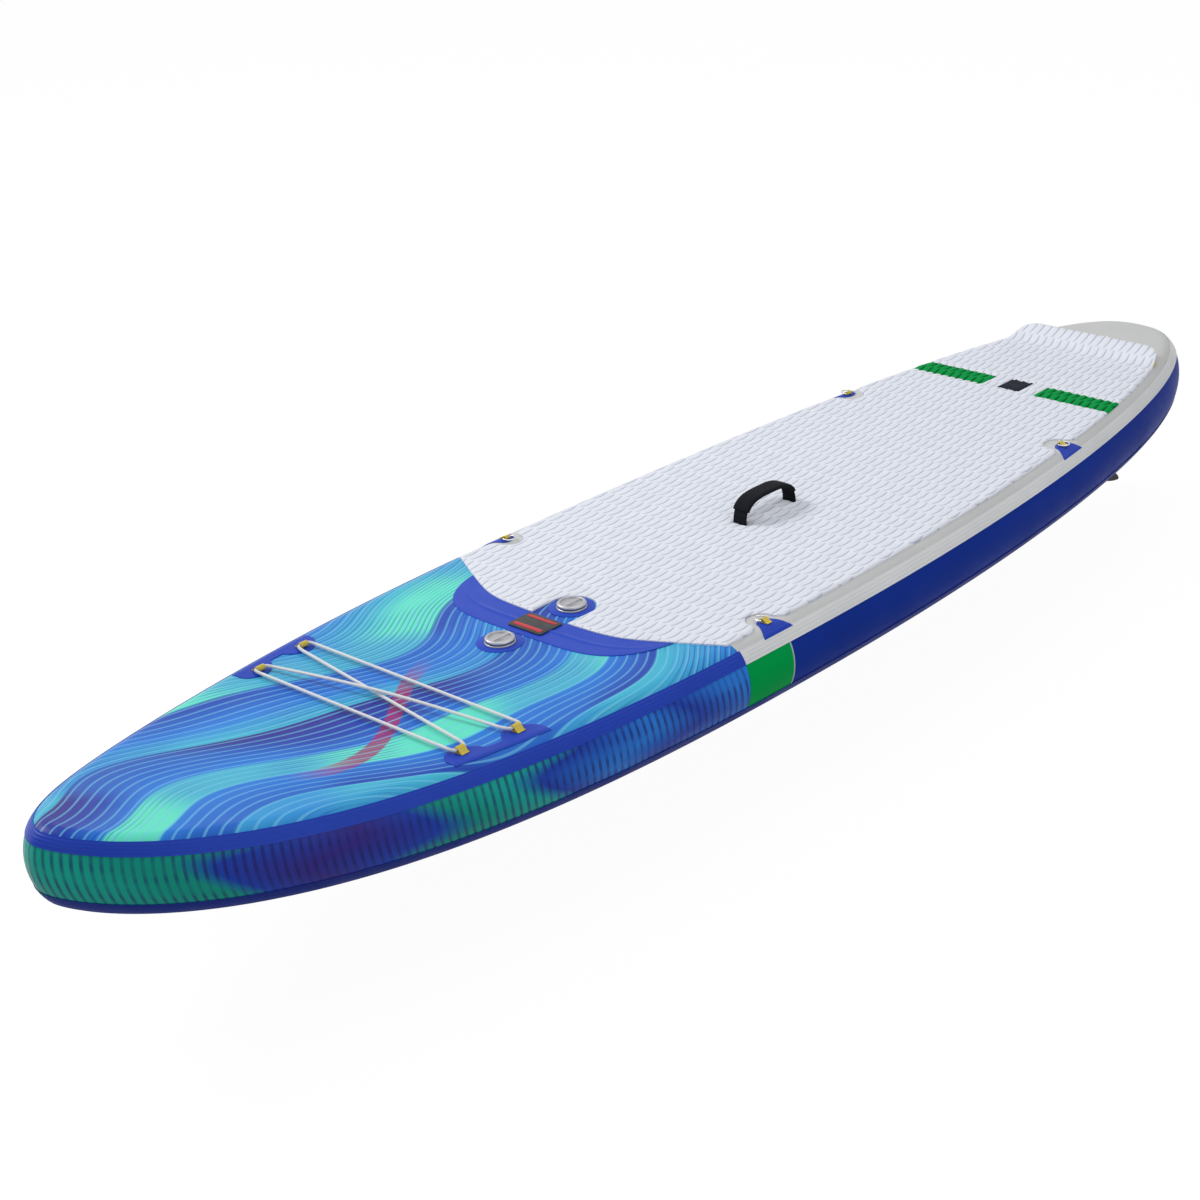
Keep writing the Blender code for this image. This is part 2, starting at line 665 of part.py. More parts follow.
# One air valve: body, clamp nut, sprung plunger and twist cap
def make_valve(name, x, patch, deck_panel, chamber):
    base = bpy.data.objects.new(f"valve_{name}_axis", None)
    bpy.context.scene.collection.objects.link(base)
    base.location = (x, 0.0, THICKNESS + LAID_GAP + PATCH + GAP)

    def place(made):
        made.parent = base
        return made

    outer = THROAT_RADIUS + THROAT_WALL
    web_low = -WEB_TOP - WEB
    body = place(turned(f"valve_body_{name}", [
        (FLANGE_RADIUS, 0.0),
        (FLANGE_RADIUS, FLANGE * 0.5),
        (FLANGE_RADIUS - FLANGE * 0.5, FLANGE),
        (THROAT_RADIUS, FLANGE),
        (THROAT_RADIUS, -WEB_TOP),
        (STEM_RADIUS + STEM_CLEARANCE, -WEB_TOP),
        (STEM_RADIUS + STEM_CLEARANCE, web_low),
        (THROAT_RADIUS, web_low),
        (THROAT_RADIUS, -THROAT_LENGTH),
        (outer, -THROAT_LENGTH),
        (outer, 0.0),
    ], SILVER))
    for i in range(4):
        turn = math.pi / 2 * i + AIR_HOLE_START
        spot = (AIR_HOLE_CIRCLE * math.cos(turn), AIR_HOLE_CIRCLE * math.sin(turn))
        hole = circle(AIR_HOLE_RADIUS, *spot, steps=8)
        cut(body, place(prism(f"air_hole_{name}_{i}", hole, web_low - WEB, -WEB_TOP + WEB, None)))

    under_deck = -(GAP + PATCH + LAID_GAP + SKIN + GAP)
    place(turned(f"valve_nut_{name}", [
        (outer + GAP, under_deck),
        (outer + GAP, under_deck - NUT),
        (NUT_RADIUS, under_deck - NUT),
        (NUT_RADIUS, under_deck),
    ], NYLON))

    button_top = FLANGE - BUTTON_DEPTH
    seat = -THROAT_LENGTH - GAP
    place(turned(f"valve_plunger_{name}", [
        (0.0, button_top),
        (BUTTON_RADIUS, button_top),
        (BUTTON_RADIUS, button_top - BUTTON),
        (STEM_RADIUS, button_top - BUTTON),
        (STEM_RADIUS, seat),
        (POPPET_RADIUS, seat),
        (POPPET_RADIUS, seat - POPPET),
        (0.0, seat - POPPET),
    ], NYLON))

    low = -WEB_TOP + GAP + SPRING_WIRE
    high = button_top - BUTTON - GAP - SPRING_WIRE
    coil = []
    for i in range(SPRING_TURNS * 8 + 1):
        turn = 2 * math.pi * i / 8
        height = low + (high - low) * i / (SPRING_TURNS * 8)
        coil.append((SPRING_RADIUS * math.cos(turn), SPRING_RADIUS * math.sin(turn), height))
    place(tube(f"valve_spring_{name}", coil, SPRING_WIRE, STEEL, resolution=0))

    gasket_low = FLANGE + GAP
    place(turned(f"valve_gasket_{name}", [
        (THROAT_RADIUS + THROAT_WALL, gasket_low),
        (FLANGE_RADIUS - FLANGE, gasket_low),
        (FLANGE_RADIUS - FLANGE, gasket_low + GASKET),
        (THROAT_RADIUS + THROAT_WALL, gasket_low + GASKET),
    ], RUBBER))

    cap_low = gasket_low + GASKET + GAP
    cap = place(turned(f"valve_cap_{name}", [
        (0.0, cap_low),
        (CAP_RADIUS - CAP_EDGE, cap_low),
        (CAP_RADIUS, cap_low + CAP_EDGE),
        (CAP_RADIUS, cap_low + CAP - CAP_SHOULDER),
        (CAP_RADIUS - CAP_SHOULDER * 0.35, cap_low + CAP - CAP_SHOULDER * 0.25),
        (CAP_RADIUS - CAP_SHOULDER, cap_low + CAP),
        (0.0, cap_low + CAP),
    ], SILVER))
    for side in (1, -1):
        start = math.asin(GRIP_BAR_WIDTH / 2 / GRIP_POCKET_RADIUS)
        pocket = [
            (GRIP_POCKET_RADIUS * math.cos(turn), side * GRIP_POCKET_RADIUS * math.sin(turn))
            for turn in spread(start, math.pi - start, 10)
        ]
        top = cap_low + CAP
        cutter = prism(f"grip_cutter_{name}_{side}", pocket, top - GRIP_POCKET, top + GRIP_POCKET, None)
        cut(cap, place(cutter))

    hole = prism(f"deck_hole_{name}", circle(outer + GAP, x), HALF_HEIGHT, 2 * THICKNESS, None)
    for sheet in (deck_panel, patch):
        cut(sheet, hole)
    pocket = circle(NUT_RADIUS + POCKET_CLEARANCE, x)
    depth = THROAT_LENGTH + POPPET + 3 * POCKET_CLEARANCE
    cut(chamber, prism(f"chamber_pocket_{name}", pocket, THICKNESS - depth, 2 * THICKNESS, None))


# Webbing loop and ring, in their own frame: the bar lies along X, +Y is where the ring lies
def webbing_loop(name, bore, width, tail, location, spin):
    outer = bore + LOOP_WEBBING
    turns = spread(-math.pi / 2, math.pi, 12)
    outline = [(outer * math.cos(turn), outer + outer * math.sin(turn)) for turn in turns]
    outline += [(-outer - GAP, 1.5 * LOOP_WEBBING), (-tail, LOOP_WEBBING), (-tail, 0.0)]
    verts = [(x, y, z) for x in (-width / 2, width / 2) for y, z in outline]
    count = len(outline)
    faces = ring_faces(0, count, count) + [tuple(range(count)), tuple(range(count, 2 * count))]
    made = add_object(name, verts, faces, YELLOW)
    turns = [2 * math.pi * i / SMALL_STEPS for i in range(SMALL_STEPS)]
    bore_verts = [
        (x, bore * math.cos(turn), outer + bore * math.sin(turn)) for x in (-width, width) for turn in turns
    ]
    bore_faces = ring_faces(0, SMALL_STEPS, SMALL_STEPS)
    bore_faces += [tuple(range(SMALL_STEPS)), tuple(range(SMALL_STEPS, 2 * SMALL_STEPS))]
    cutter = add_object(f"{name}_bore", bore_verts, bore_faces, None)
    for piece in (made, cutter):
        piece.location = location
        piece.rotation_euler.z = spin
    cut(made, cutter)
    return outer


def ring_loop():
    """Centre line of a D-ring: a straight bar and an arch."""
    half = RING_BAR / 2
    points = [(x, 0.0, 0.0) for x in spread(-half * RING_STRAIGHT, half * RING_STRAIGHT, 4)]
    points += [
        (half * math.cos(turn), RING_SHOULDER + (RING_REACH - RING_SHOULDER) * math.sin(turn), 0.0)
        for turn in spread(0.0, math.pi, 11)
    ]
    return points


def make_ring(name, location, spin, lies_in):
    bore = RING_WIRE + LOOP_CLEARANCE
    tail_spin = spin if lies_in else spin + math.pi
    lift = webbing_loop(f"{name}_loop", bore, LOOP_WIDTH, LOOP_TAIL, location, spin)
    ring = tube(name, ring_loop(), RING_WIRE, STEEL, cyclic=True, resolution=1)
    ring.location = (location[0], location[1], location[2] + lift)
    ring.rotation_euler.z = tail_spin


def deck_patch(name, side, columns, insets, look):
    """A thin patch laid on the deck and its shoulder: columns of x, each with its own row of insets."""
    rows = len(insets(columns[0][0]))
    verts = []
    for lift in (LAID_GAP, LAID_GAP + PATCH):
        for share, x_mid, reach in columns:
            for k, inset in enumerate(insets(share)):
                x = x_mid + reach(k / (rows - 1))
                verts.append((x, side * half_width(x, inset), deck(x, inset) + lift))
    count = len(columns) * rows
    faces = []
    for layer in (0, count):
        for i in range(len(columns) - 1):
            for k in range(rows - 1):
                corner = layer + i * rows + k
                faces.append((corner, corner + 1, corner + rows + 1, corner + rows))
    rim = [k for k in range(rows)]
    rim += [i * rows + rows - 1 for i in range(1, len(columns))]
    rim += [(len(columns) - 1) * rows + k for k in range(rows - 2, -1, -1)]
    rim += [i * rows for i in range(len(columns) - 2, 0, -1)]
    for here, after in zip(rim, rim[1:] + rim[:1]):
        faces.append((here, after, count + after, count + here))
    return add_object(name, verts, faces, look)


def make_ring_patch(name, x, side):
    base, tip = RING_PATCH_BASE / 2, RING_PATCH_TIP / 2

    def column(share):
        return share, x, lambda k: share * (tip + (base - tip) * (1.0 - k) ** 2)

    rows = shoulder_insets()

    def insets(share):
        return rows + [RING_PATCH_INNER - RING_PATCH_BOW * share ** 2]

    deck_patch(name, side, [column(share) for share in spread(-1.0, 1.0, 6)], insets, BLUE)


def make_rings():
    for place_name, x, lies_in in (("front", RING_FRONT_X, True), ("rear", RING_REAR_X, False)):
        for side_name, side in (("port", 1), ("starboard", -1)):
            label = f"{place_name}_{side_name}"
            make_ring_patch(f"ring_patch_{label}", x, side)
            height = deck(x) + LAID_GAP + PATCH + LAID_GAP
            spot = (x, side * half_width(x, RING_INSET), height)
            make_ring(f"d_ring_{label}", spot, inward(x, side), lies_in)

    radius = LEASH_PATCH_RADIUS

    def chord(x):
        return math.sqrt(max(LEASH_PATCH_TIP ** 2, radius ** 2 - (x - LEASH_X) ** 2))

    def low(x):
        return deck(x) + LAID_GAP

    def high(x):
        return low(x) + PATCH

    stations = [LEASH_X - radius * math.cos(turn) for turn in spread(0.0, math.pi, 12)]
    plate("leash_patch", stations, lambda x: -chord(x), chord, low, high, BLUE)
    spot = (LEASH_X, 0.0, deck(LEASH_X - LOOP_TAIL) + LAID_GAP + PATCH + GAP)
    make_ring("leash_ring", spot, math.pi / 2, True)


# Bungee: two patches, four webbing loops and one cord
def cord_bend(eye, first, other):
    """Points that lead the cord from its span to another eye into one side of this eye, along X."""
    x, y, z = eye
    mouth = Vector((x + first * BUNGEE_LOOP_WIDTH / 2, y, z))
    corner = mouth + Vector((first * CORD_TURN, 0.0, 0.0))
    start = corner + (Vector(other) - corner).normalized() * CORD_LEAD
    return [
        start * (1.0 - t) ** 2 + corner * 2.0 * t * (1.0 - t) + mouth * t ** 2
        for t in spread(0.0, 1.0, 4)
    ]


def make_bungee():
    bore = CORD_RADIUS + LOOP_CLEARANCE
    span = BUNGEE_FRONT_X - BUNGEE_REAR_X
    middle = (BUNGEE_FRONT_X + BUNGEE_REAR_X) / 2
    reach = span / 2 + BUNGEE_PATCH_MARGIN
    rows = shoulder_insets()

    def insets(share):
        away = min(abs(share * reach - span / 2), abs(share * reach + span / 2))
        hump = BUNGEE_PATCH_VALLEY + BUNGEE_PATCH_HUMP * max(0.0, 1.0 - (away / BUNGEE_PATCH_MARGIN) ** 2)
        return rows + [(rows[-1] + hump) / 2, hump]

    eyes = {}
    for side_name, side in (("port", 1), ("starboard", -1)):
        columns = [(share, middle, lambda k, share=share: share * reach) for share in spread(-1.0, 1.0, 16)]
        deck_patch(f"bungee_patch_{side_name}", side, columns, insets, BLUE)
        for place_name, x in (("front", BUNGEE_FRONT_X), ("rear", BUNGEE_REAR_X)):
            y = side * half_width(x, BUNGEE_INSET)
            low = deck(x + BUNGEE_LOOP_WIDTH / 2) + LAID_GAP + PATCH + LAID_GAP
            name = f"bungee_loop_{place_name}_{side_name}"
            spin = 0.0 if side < 0 else math.pi
            lift = webbing_loop(name, bore, BUNGEE_LOOP_WIDTH, LOOP_TAIL, (x, y, low), spin)
            eyes[place_name, side_name] = (x, y, low + lift)

    stops = [
        (eyes["front", "port"], 1),
        (eyes["rear", "starboard"], 1),
        (eyes["rear", "port"], -1),
        (eyes["front", "starboard"], -1),
    ]
    lifts = (0.0, 0.0, CORD_LIFT, 0.0)
    route = []
    for i, (eye, first) in enumerate(stops):
        before, after = stops[i - 1][0], stops[(i + 1) % 4][0]
        route += cord_bend(eye, first, before)
        leaving = cord_bend(eye, -first, after)[::-1]
        route += leaving
        arriving = cord_bend(after, stops[(i + 1) % 4][1], eye)[0]
        for t in (0.3, 0.5, 0.7):
            rise = Vector((0.0, 0.0, lifts[i] * math.sin(math.pi * t)))
            route.append(leaving[-1].lerp(arriving, t) + rise)
    tube("bungee_cord", route, CORD_RADIUS, WHITE, cyclic=True, resolution=2)


# Carry handle: a webbing strap that rises out of the pad, and the padded grip round it
def handle_point(share):
    """A point of the strap's centre line, x and z, share running 0 to 1 along the arch."""
    middle = (HANDLE_FRONT_X + HANDLE_REAR_X) / 2
    half = (HANDLE_FRONT_X - HANDLE_REAR_X) / 2
    turn = math.pi * share
    base = deck(middle) + LAID_GAP
    x = middle + half * math.copysign(abs(math.cos(turn)) ** HANDLE_LEG_POWER, math.cos(turn))
    z = base + (HANDLE_RISE + PAD) * math.sin(turn) ** HANDLE_ARCH_POWER
    return x, z


def handle_frame(share):
    step = 0.004
    x0, z0 = handle_point(max(0.0, share - step))
    x1, z1 = handle_point(min(1.0, share + step))
    size = math.hypot(x1 - x0, z1 - z0)
    x, z = handle_point(share)
    return x, z, (z1 - z0) / size, -(x1 - x0) / size


def strap_rings(shares, width, inner, outer):
    """Four corners of the strap at each share, from inner to outer distance off its centre line."""
    verts = []
    for share in shares:
        x, z, nx, nz = handle_frame(share)
        for off, y in ((inner, -width), (inner, width), (outer, width), (outer, -width)):
            verts.append((x + nx * off, y / 2, z + nz * off))
    return verts


def make_handle():
    shares = spread(0.0, 1.0, 28)
    verts = strap_rings(shares, STRAP_WIDTH, -STRAP / 2, STRAP / 2)
    faces = [(0, 1, 2, 3)]
    for i in range(len(shares) - 1):
        faces += ring_faces(4 * i, 4 * i + 4, 4)
    last = 4 * len(shares) - 4
    faces.append((last, last + 1, last + 2, last + 3))
    add_object("handle_strap", verts, faces, WEBBING)

    shares = shares[6:-6]
    hole = STRAP / 2 + GAP
    inner = strap_rings(shares, STRAP_WIDTH + 2 * GAP, -hole, hole)
    outer = strap_rings(shares, GRIP_WIDTH, -hole - GRIP / 2, hole + GRIP)
    faces = []
    start = len(inner)
    last = 4 * len(shares) - 4
    for i in range(len(shares) - 1):
        faces += ring_faces(4 * i, 4 * i + 4, 4)
        faces += ring_faces(start + 4 * i, start + 4 * i + 4, 4)
    faces += ring_faces(0, start, 4)
    faces += ring_faces(last, start + last, 4)
    add_object("handle_grip", inner + outer, faces, WEBBING)


# Fin box, fin, and what clamps it
def blade_section(share, thick):
    """One section of the blade: leading and trailing edge and thickness at a share of its depth."""
    lead = BLADE_CHORD - TAB_LENGTH / 2 - BLADE_SWEEP * share ** BLADE_SWEEP_POWER
    trail = -TAB_LENGTH / 2 - BLADE_TAIL_SWEEP * share ** BLADE_TAIL_POWER
    into_tip = max(0.0, (share - 1.0) / BLADE_TIP_SHARE + 1.0)
    tip = math.sqrt(max(0.0, 1.0 - into_tip ** 2))
    middle = trail * 0.6 + lead * 0.4
    half = max(BLADE_TIP_CHORD, (lead - trail) * tip) / 2
    centre = (lead + trail) / 2 * tip + middle * (1.0 - tip)
    points = []
    for i in range(SMALL_STEPS):
        turn = 2 * math.pi * i / SMALL_STEPS
        fullness = 1.0 + BLADE_FULLNESS * math.cos(turn)
        points.append((centre + half * math.cos(turn), thick / 2 * math.sin(turn) * fullness))
    return points


def make_fin():
    base = bpy.data.objects.new("fin_box_frame", None)
    bpy.context.scene.collection.objects.link(base)
    base.location = (FIN_X, 0.0, rocker(FIN_X))
    base.rotation_euler.y = -math.atan(rocker_slope(FIN_X))

    def place(made):
        made.parent = base
        return made

    patch_low = -LAID_GAP - PATCH
    box_top = patch_low - GAP
    box_low = box_top - BOX_HEIGHT
    outline = rounded_box(BOX_PATCH_LENGTH, BOX_PATCH_WIDTH, BOX_PATCH_WIDTH / 2.2)
    place(prism("fin_box_patch", outline, patch_low, -LAID_GAP, BLUE))
    outline = rounded_box(BOX_LENGTH, BOX_WIDTH, BOX_WIDTH / 2.2)
    box = place(prism("fin_box", outline, box_low, box_top, NYLON))
    slot = rounded_box(SLOT_LENGTH, SLOT_WIDTH, SLOT_WIDTH / 2.2)
    channel = rounded_box(SLOT_LENGTH, CHANNEL_WIDTH, CHANNEL_WIDTH / 2.2)
    roof = box_top - SLOT_ROOF + CHANNEL_HEIGHT
    ledge = roof - CHANNEL_HEIGHT
    cut(box, place(prism("fin_slot_cutter", slot, box_low - PAD, ledge + CHANNEL_HEIGHT / 2, None)))
    cut(box, place(prism("fin_channel_cutter", channel, ledge, roof, None)))

    front = TAB_LENGTH / 2
    ear_top = ledge - TAB_CLEARANCE
    ear_low = ear_top - EAR_HEIGHT
    boss_top = roof - TAB_CLEARANCE
    boss_front = -front + BOSS_LENGTH
    tab = [
        (front, ear_low),
        (front, ear_top),
        (boss_front, ear_top),
        (boss_front, boss_top),
        (-front, boss_top),
        (-front, box_low - GAP),
        (front - EAR_LENGTH, box_low - GAP),
        (front - EAR_LENGTH, ear_low),
    ]
    half = SLOT_WIDTH / 2 - TAB_CLEARANCE
    fin = place(prism("centre_fin", tab, -half, half, NYLON, along="y"))
    verts = []
    shares = spread(-BLADE_ROOT_OVERLAP, 1.0 - BLADE_TIP_SHARE, 9)
    shares += [1.0 - BLADE_TIP_SHARE * left for left in (0.6, 0.3, 0.1, 0.0)]
    for share in shares:
        fade = max(0.0, share)
        thick = BLADE_THICKNESS * (1.0 - BLADE_TAPER * fade)
        depth = box_low - GAP - share * BLADE_DEPTH
        verts += [(x, y, depth) for x, y in blade_section(fade, thick)]
    faces = [tuple(range(SMALL_STEPS))]
    for i in range(len(shares) - 1):
        faces += ring_faces(i * SMALL_STEPS, (i + 1) * SMALL_STEPS, SMALL_STEPS)
    faces.append(tuple(range((len(shares) - 1) * SMALL_STEPS, len(shares) * SMALL_STEPS)))
    blade = place(add_object("fin_blade_union", verts, faces, None))
    cut(fin, blade, "UNION")

    screw_x = front - EAR_LENGTH / 2
    screw_hole = circle(SCREW_RADIUS + GAP, screw_x, steps=SMALL_STEPS)
    cut(fin, place(prism("screw_hole_cutter", screw_hole, box_low - PAD, roof, None)))
    pin_x = (boss_front - front) / 2
    pin_z = (ledge + roof) / 2
    pin_hole = circle(PIN_RADIUS + GAP, pin_x, pin_z, steps=SMALL_STEPS)
    cut(fin, place(prism("pin_hole_cutter", pin_hole, -BOX_WIDTH, BOX_WIDTH, None, along="y")))

    pin_half = CHANNEL_WIDTH / 2 - GAP
    pin = circle(PIN_RADIUS, pin_x, pin_z, steps=SMALL_STEPS)
    place(prism("fin_pin", pin, -pin_half, pin_half, STEEL, along="y"))
    nut_low = ledge + TAB_CLEARANCE
    plate_nut = rounded_box(EAR_LENGTH * 0.6, CHANNEL_WIDTH - 4 * GAP, 0.001, screw_x, steps=1)
    nut = place(prism("fin_plate_nut", plate_nut, nut_low, nut_low + PLATE_NUT, STEEL))
    tapped = circle(SCREW_RADIUS + GAP, screw_x, steps=SMALL_STEPS)
    cut(nut, place(prism("nut_hole_cutter", tapped, ledge - PAD, roof + PAD, None)))
    head_top = ear_low - GAP
    screw = place(turned("fin_screw", [
        (0.0, nut_low + PLATE_NUT + SCREW_STAND),
        (SCREW_RADIUS, nut_low + PLATE_NUT + SCREW_STAND),
        (SCREW_RADIUS, head_top),
        (SCREW_HEAD_RADIUS, head_top),
        (SCREW_HEAD_RADIUS, head_top - SCREW_HEAD),
        (0.0, head_top - SCREW_HEAD),
    ], STEEL, SMALL_STEPS))
    screw.location.x = screw_x


def main():
    deck_panel = make_hull()
    chamber = make_inner_chamber()
    make_pad()
    patches = make_yoke()
    make_valve("front", VALVE_FRONT_X, patches["front"], deck_panel, chamber)
    make_valve("rear", VALVE_REAR_X, patches["rear"], deck_panel, chamber)
    make_rings()
    make_bungee()
    make_handle()
    make_fin()


main()
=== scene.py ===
# %% [markdown]
# A stand up paddleboard, dressed for its portrait. The frame holds every real piece at its real size; this
# lesson lays smooth skins, grooved foam, webbing and print over it. First the frame is loaded, and its box
# is kept, because the dressed board may not grow out of it.

# %% Load the frame
import math

import bmesh
import bpy
from mathutils import Matrix, Vector
from mathutils.kdtree import KDTree


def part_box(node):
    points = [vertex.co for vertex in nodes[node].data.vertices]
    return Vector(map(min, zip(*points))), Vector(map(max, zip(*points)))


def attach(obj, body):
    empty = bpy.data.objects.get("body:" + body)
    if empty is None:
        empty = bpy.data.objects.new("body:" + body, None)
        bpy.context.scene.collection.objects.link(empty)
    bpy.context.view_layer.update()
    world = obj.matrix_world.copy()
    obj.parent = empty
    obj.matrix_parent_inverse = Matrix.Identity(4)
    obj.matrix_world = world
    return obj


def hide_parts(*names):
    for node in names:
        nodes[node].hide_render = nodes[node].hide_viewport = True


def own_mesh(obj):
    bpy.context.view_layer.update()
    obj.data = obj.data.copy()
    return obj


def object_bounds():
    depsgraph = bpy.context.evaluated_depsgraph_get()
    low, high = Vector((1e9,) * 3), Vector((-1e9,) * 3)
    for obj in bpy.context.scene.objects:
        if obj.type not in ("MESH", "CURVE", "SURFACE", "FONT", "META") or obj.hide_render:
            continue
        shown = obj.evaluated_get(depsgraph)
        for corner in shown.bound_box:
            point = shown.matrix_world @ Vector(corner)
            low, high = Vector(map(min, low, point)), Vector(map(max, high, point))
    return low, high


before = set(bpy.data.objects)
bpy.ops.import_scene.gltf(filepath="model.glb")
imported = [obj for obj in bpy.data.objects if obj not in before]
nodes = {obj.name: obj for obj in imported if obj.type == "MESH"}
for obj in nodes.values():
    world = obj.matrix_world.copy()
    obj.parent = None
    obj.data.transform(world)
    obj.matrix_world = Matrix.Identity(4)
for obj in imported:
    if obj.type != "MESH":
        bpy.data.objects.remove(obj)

cad_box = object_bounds()

# %% [markdown]
# The photograph looks down on the near rail from ahead of the nose. Its camera was found by fitting the
# board's outline, so it is placed by a point, a target and a roll. The shift moves the picture without
# turning the view.

# %% Camera
PHOTO = 1200
EYE = Vector((3.5484, 3.2206, 2.1837))
TARGET = Vector((0.1415, -0.1599, 0.0488))
ROLL = -0.0656
FOCAL = 2551.3
FAR_CLIP = 100.0
OFF_CENTRE = (2.04, -5.89)

ahead = (TARGET - EYE).normalized()
level = ahead.cross(Vector((0.0, 0.0, 1.0))).normalized()
upright = level.cross(ahead)
right = level * math.cos(ROLL) + upright * math.sin(ROLL)
over = upright * math.cos(ROLL) - level * math.sin(ROLL)
bpy.ops.object.camera_add()
camera = bpy.context.object
turned = Matrix((right, over, -ahead)).transposed()
camera.matrix_world = Matrix.Translation(EYE) @ turned.to_4x4()
camera.data.lens = camera.data.sensor_width * FOCAL / PHOTO
camera.data.shift_x = -OFF_CENTRE[0] / PHOTO
camera.data.shift_y = OFF_CENTRE[1] / PHOTO
camera.data.clip_end = FAR_CLIP
bpy.context.scene.camera = camera
print("camera lens", round(camera.data.lens, 2))

# %% [markdown]
# Studio light: the main lamp stands far left, so that the pad's grooves throw small shadows. A broad one
# hangs overhead, and two weak ones by the near rail and the nose fill the side. They stay at a level where
# a colour renders about as it is written.

# %% Lamps
LAMPS = (
    ("far_left", (1.6, -4.6, 4.2), (0.0, 0.0, 0.0), 2.2, 190.0),
    ("overhead", (-0.8, 0.4, 4.4), (0.0, 0.0, 0.0), 4.0, 60.0),
    ("near_rail", (1.0, 4.8, 2.0), (0.0, 0.0, 0.1), 2.6, 42.0),
    ("nose", (5.2, 0.6, 2.4), (1.2, 0.0, 0.1), 1.4, 18.0),
)


def soft_lamp(name, place, aim, size, power):
    bpy.ops.object.light_add(type="AREA", location=place)
    lamp = bpy.context.object
    lamp.name = name
    lamp.data.size = size
    lamp.data.energy = power
    lamp.rotation_euler = (Vector(aim) - Vector(place)).to_track_quat("-Z", "Y").to_euler()


for row in LAMPS:
    soft_lamp(*row)
print("lamps:", len(LAMPS))

# %% [markdown]
# The board is a cut-out on white. More light would bleach it, so the white comes from a switch instead:
# rays from the camera, or by way of metal and glass, see a white world, and all others see a dimmer one
# that fills the shadows.

# %% Backdrop
STUDIO_TINT = (0.93, 0.95, 1.0, 1.0)
STUDIO_STRENGTH = 0.36
WHITE = (1.0, 1.0, 1.0, 1.0)
scene = bpy.context.scene
scene.view_settings.view_transform = "Standard"
world = bpy.data.worlds.new("studio")
scene.world = world
world.use_nodes = True


def new_node(tree, kind, **settings):
    made = tree.nodes.new(kind)
    for key, value in settings.items():
        setattr(made, key, value)
    return made


def seen_ray(tree):
    """1 on rays that show the backdrop: from the camera, or by way of metal and glass."""
    path = new_node(tree, "ShaderNodeLightPath")
    total = path.outputs["Is Camera Ray"]
    for kind in ("Is Glossy Ray", "Is Transmission Ray"):
        more = new_node(tree, "ShaderNodeMath", operation="MAXIMUM")
        tree.links.new(total, more.inputs[0])
        tree.links.new(path.outputs[kind], more.inputs[1])
        total = more.outputs[0]
    return total


def switch(tree, share, under, over, output):
    """Shows one shader under a ray's share of another."""
    choose = new_node(tree, "ShaderNodeMixShader")
    tree.links.new(share, choose.inputs[0])
    tree.links.new(under, choose.inputs[1])
    tree.links.new(over, choose.inputs[2])
    tree.links.new(choose.outputs[0], tree.nodes[output].inputs["Surface"])


sky = world.node_tree
background = sky.nodes["Background"]
background.inputs["Color"].default_value = STUDIO_TINT
background.inputs["Strength"].default_value = STUDIO_STRENGTH
white = new_node(sky, "ShaderNodeBackground")
white.inputs["Color"].default_value = WHITE
switch(sky, seen_ray(sky), background.outputs[0], white.outputs[0], "World Output")
print("world strength", STUDIO_STRENGTH)

# %% [markdown]
# The floor is a grey plane with a white glow laid over nine tenths of it for the same rays. The tenth that
# is left keeps the board's shadow, faint as in the photograph.

# %% Floor
FLOOR_GAP = 0.012
FLOOR_Z = cad_box[0].z - FLOOR_GAP
FLOOR_SIZE = 60.0
FLOOR_GREY = (0.55, 0.55, 0.55, 1.0)
FLOOR_ROUGHNESS = 0.9
FLOOR_GLOW = 1.07
GLOW_SHARE = 0.90
bpy.ops.mesh.primitive_plane_add(size=FLOOR_SIZE, location=(0.0, 0.0, FLOOR_Z))
floor = bpy.context.object
floor.name = "studio_floor"
paint = bpy.data.materials.new("floor_white")
paint.use_nodes = True
tree = paint.node_tree
ground = tree.nodes["Principled BSDF"]
ground.inputs["Base Color"].default_value = FLOOR_GREY
ground.inputs["Roughness"].default_value = FLOOR_ROUGHNESS
glow = new_node(tree, "ShaderNodeEmission")
glow.inputs["Strength"].default_value = FLOOR_GLOW
share = new_node(tree, "ShaderNodeMath", operation="MULTIPLY")
share.inputs[1].default_value = GLOW_SHARE
tree.links.new(seen_ray(tree), share.inputs[0])
switch(tree, share.outputs[0], ground.outputs[0], glow.outputs[0], "Material Output")
floor.data.materials.append(paint)
print("floor at", round(FLOOR_Z, 4))

# %% [markdown]
# The hull is a rule, not a sculpture: an outline in plan, an oval rail and a rocker line. The same few
# numbers as the frame's give any point of it, so every skin, tape and patch can be laid on it exactly.

# %% Hull rules
LENGTH = 3.302
WIDTH = 0.8128
THICKNESS = 0.1524
WIDEST_X = 0.158
NOSE_CURVE = (2.38, 1.70)
TAIL_CURVE = (2.0, 2.36)
NOSE_ROCKER = 0.077
NOSE_ROCKER_POWER = 5.5
TAIL_ROCKER = 0.025
RAIL_DEPTH = 0.055
SEAM_ANGLE = 47.0
TAPE_ANGLES = (35.0, 60.0)
COLOUR_BREAK_X = 0.335
LAID_GAP = 0.0006
PATCH = 0.0012
HALF = THICKNESS / 2
NOSE_RUN = LENGTH / 2 - WIDEST_X
TAIL_RUN = LENGTH / 2 + WIDEST_X


def rocker(x):
    if x > 0:
        return NOSE_ROCKER * (x / (LENGTH / 2)) ** NOSE_ROCKER_POWER
    return TAIL_ROCKER * (x / (LENGTH / 2)) ** 2


def half_width(x, inset=0.0):
    reach, (power, root) = (NOSE_RUN, NOSE_CURVE) if x >= WIDEST_X else (TAIL_RUN, TAIL_CURVE)
    part = min(1.0, abs(x - WIDEST_X) / (reach - inset))
    return (WIDTH / 2 - inset) * (1.0 - part ** power) ** (1.0 / root)


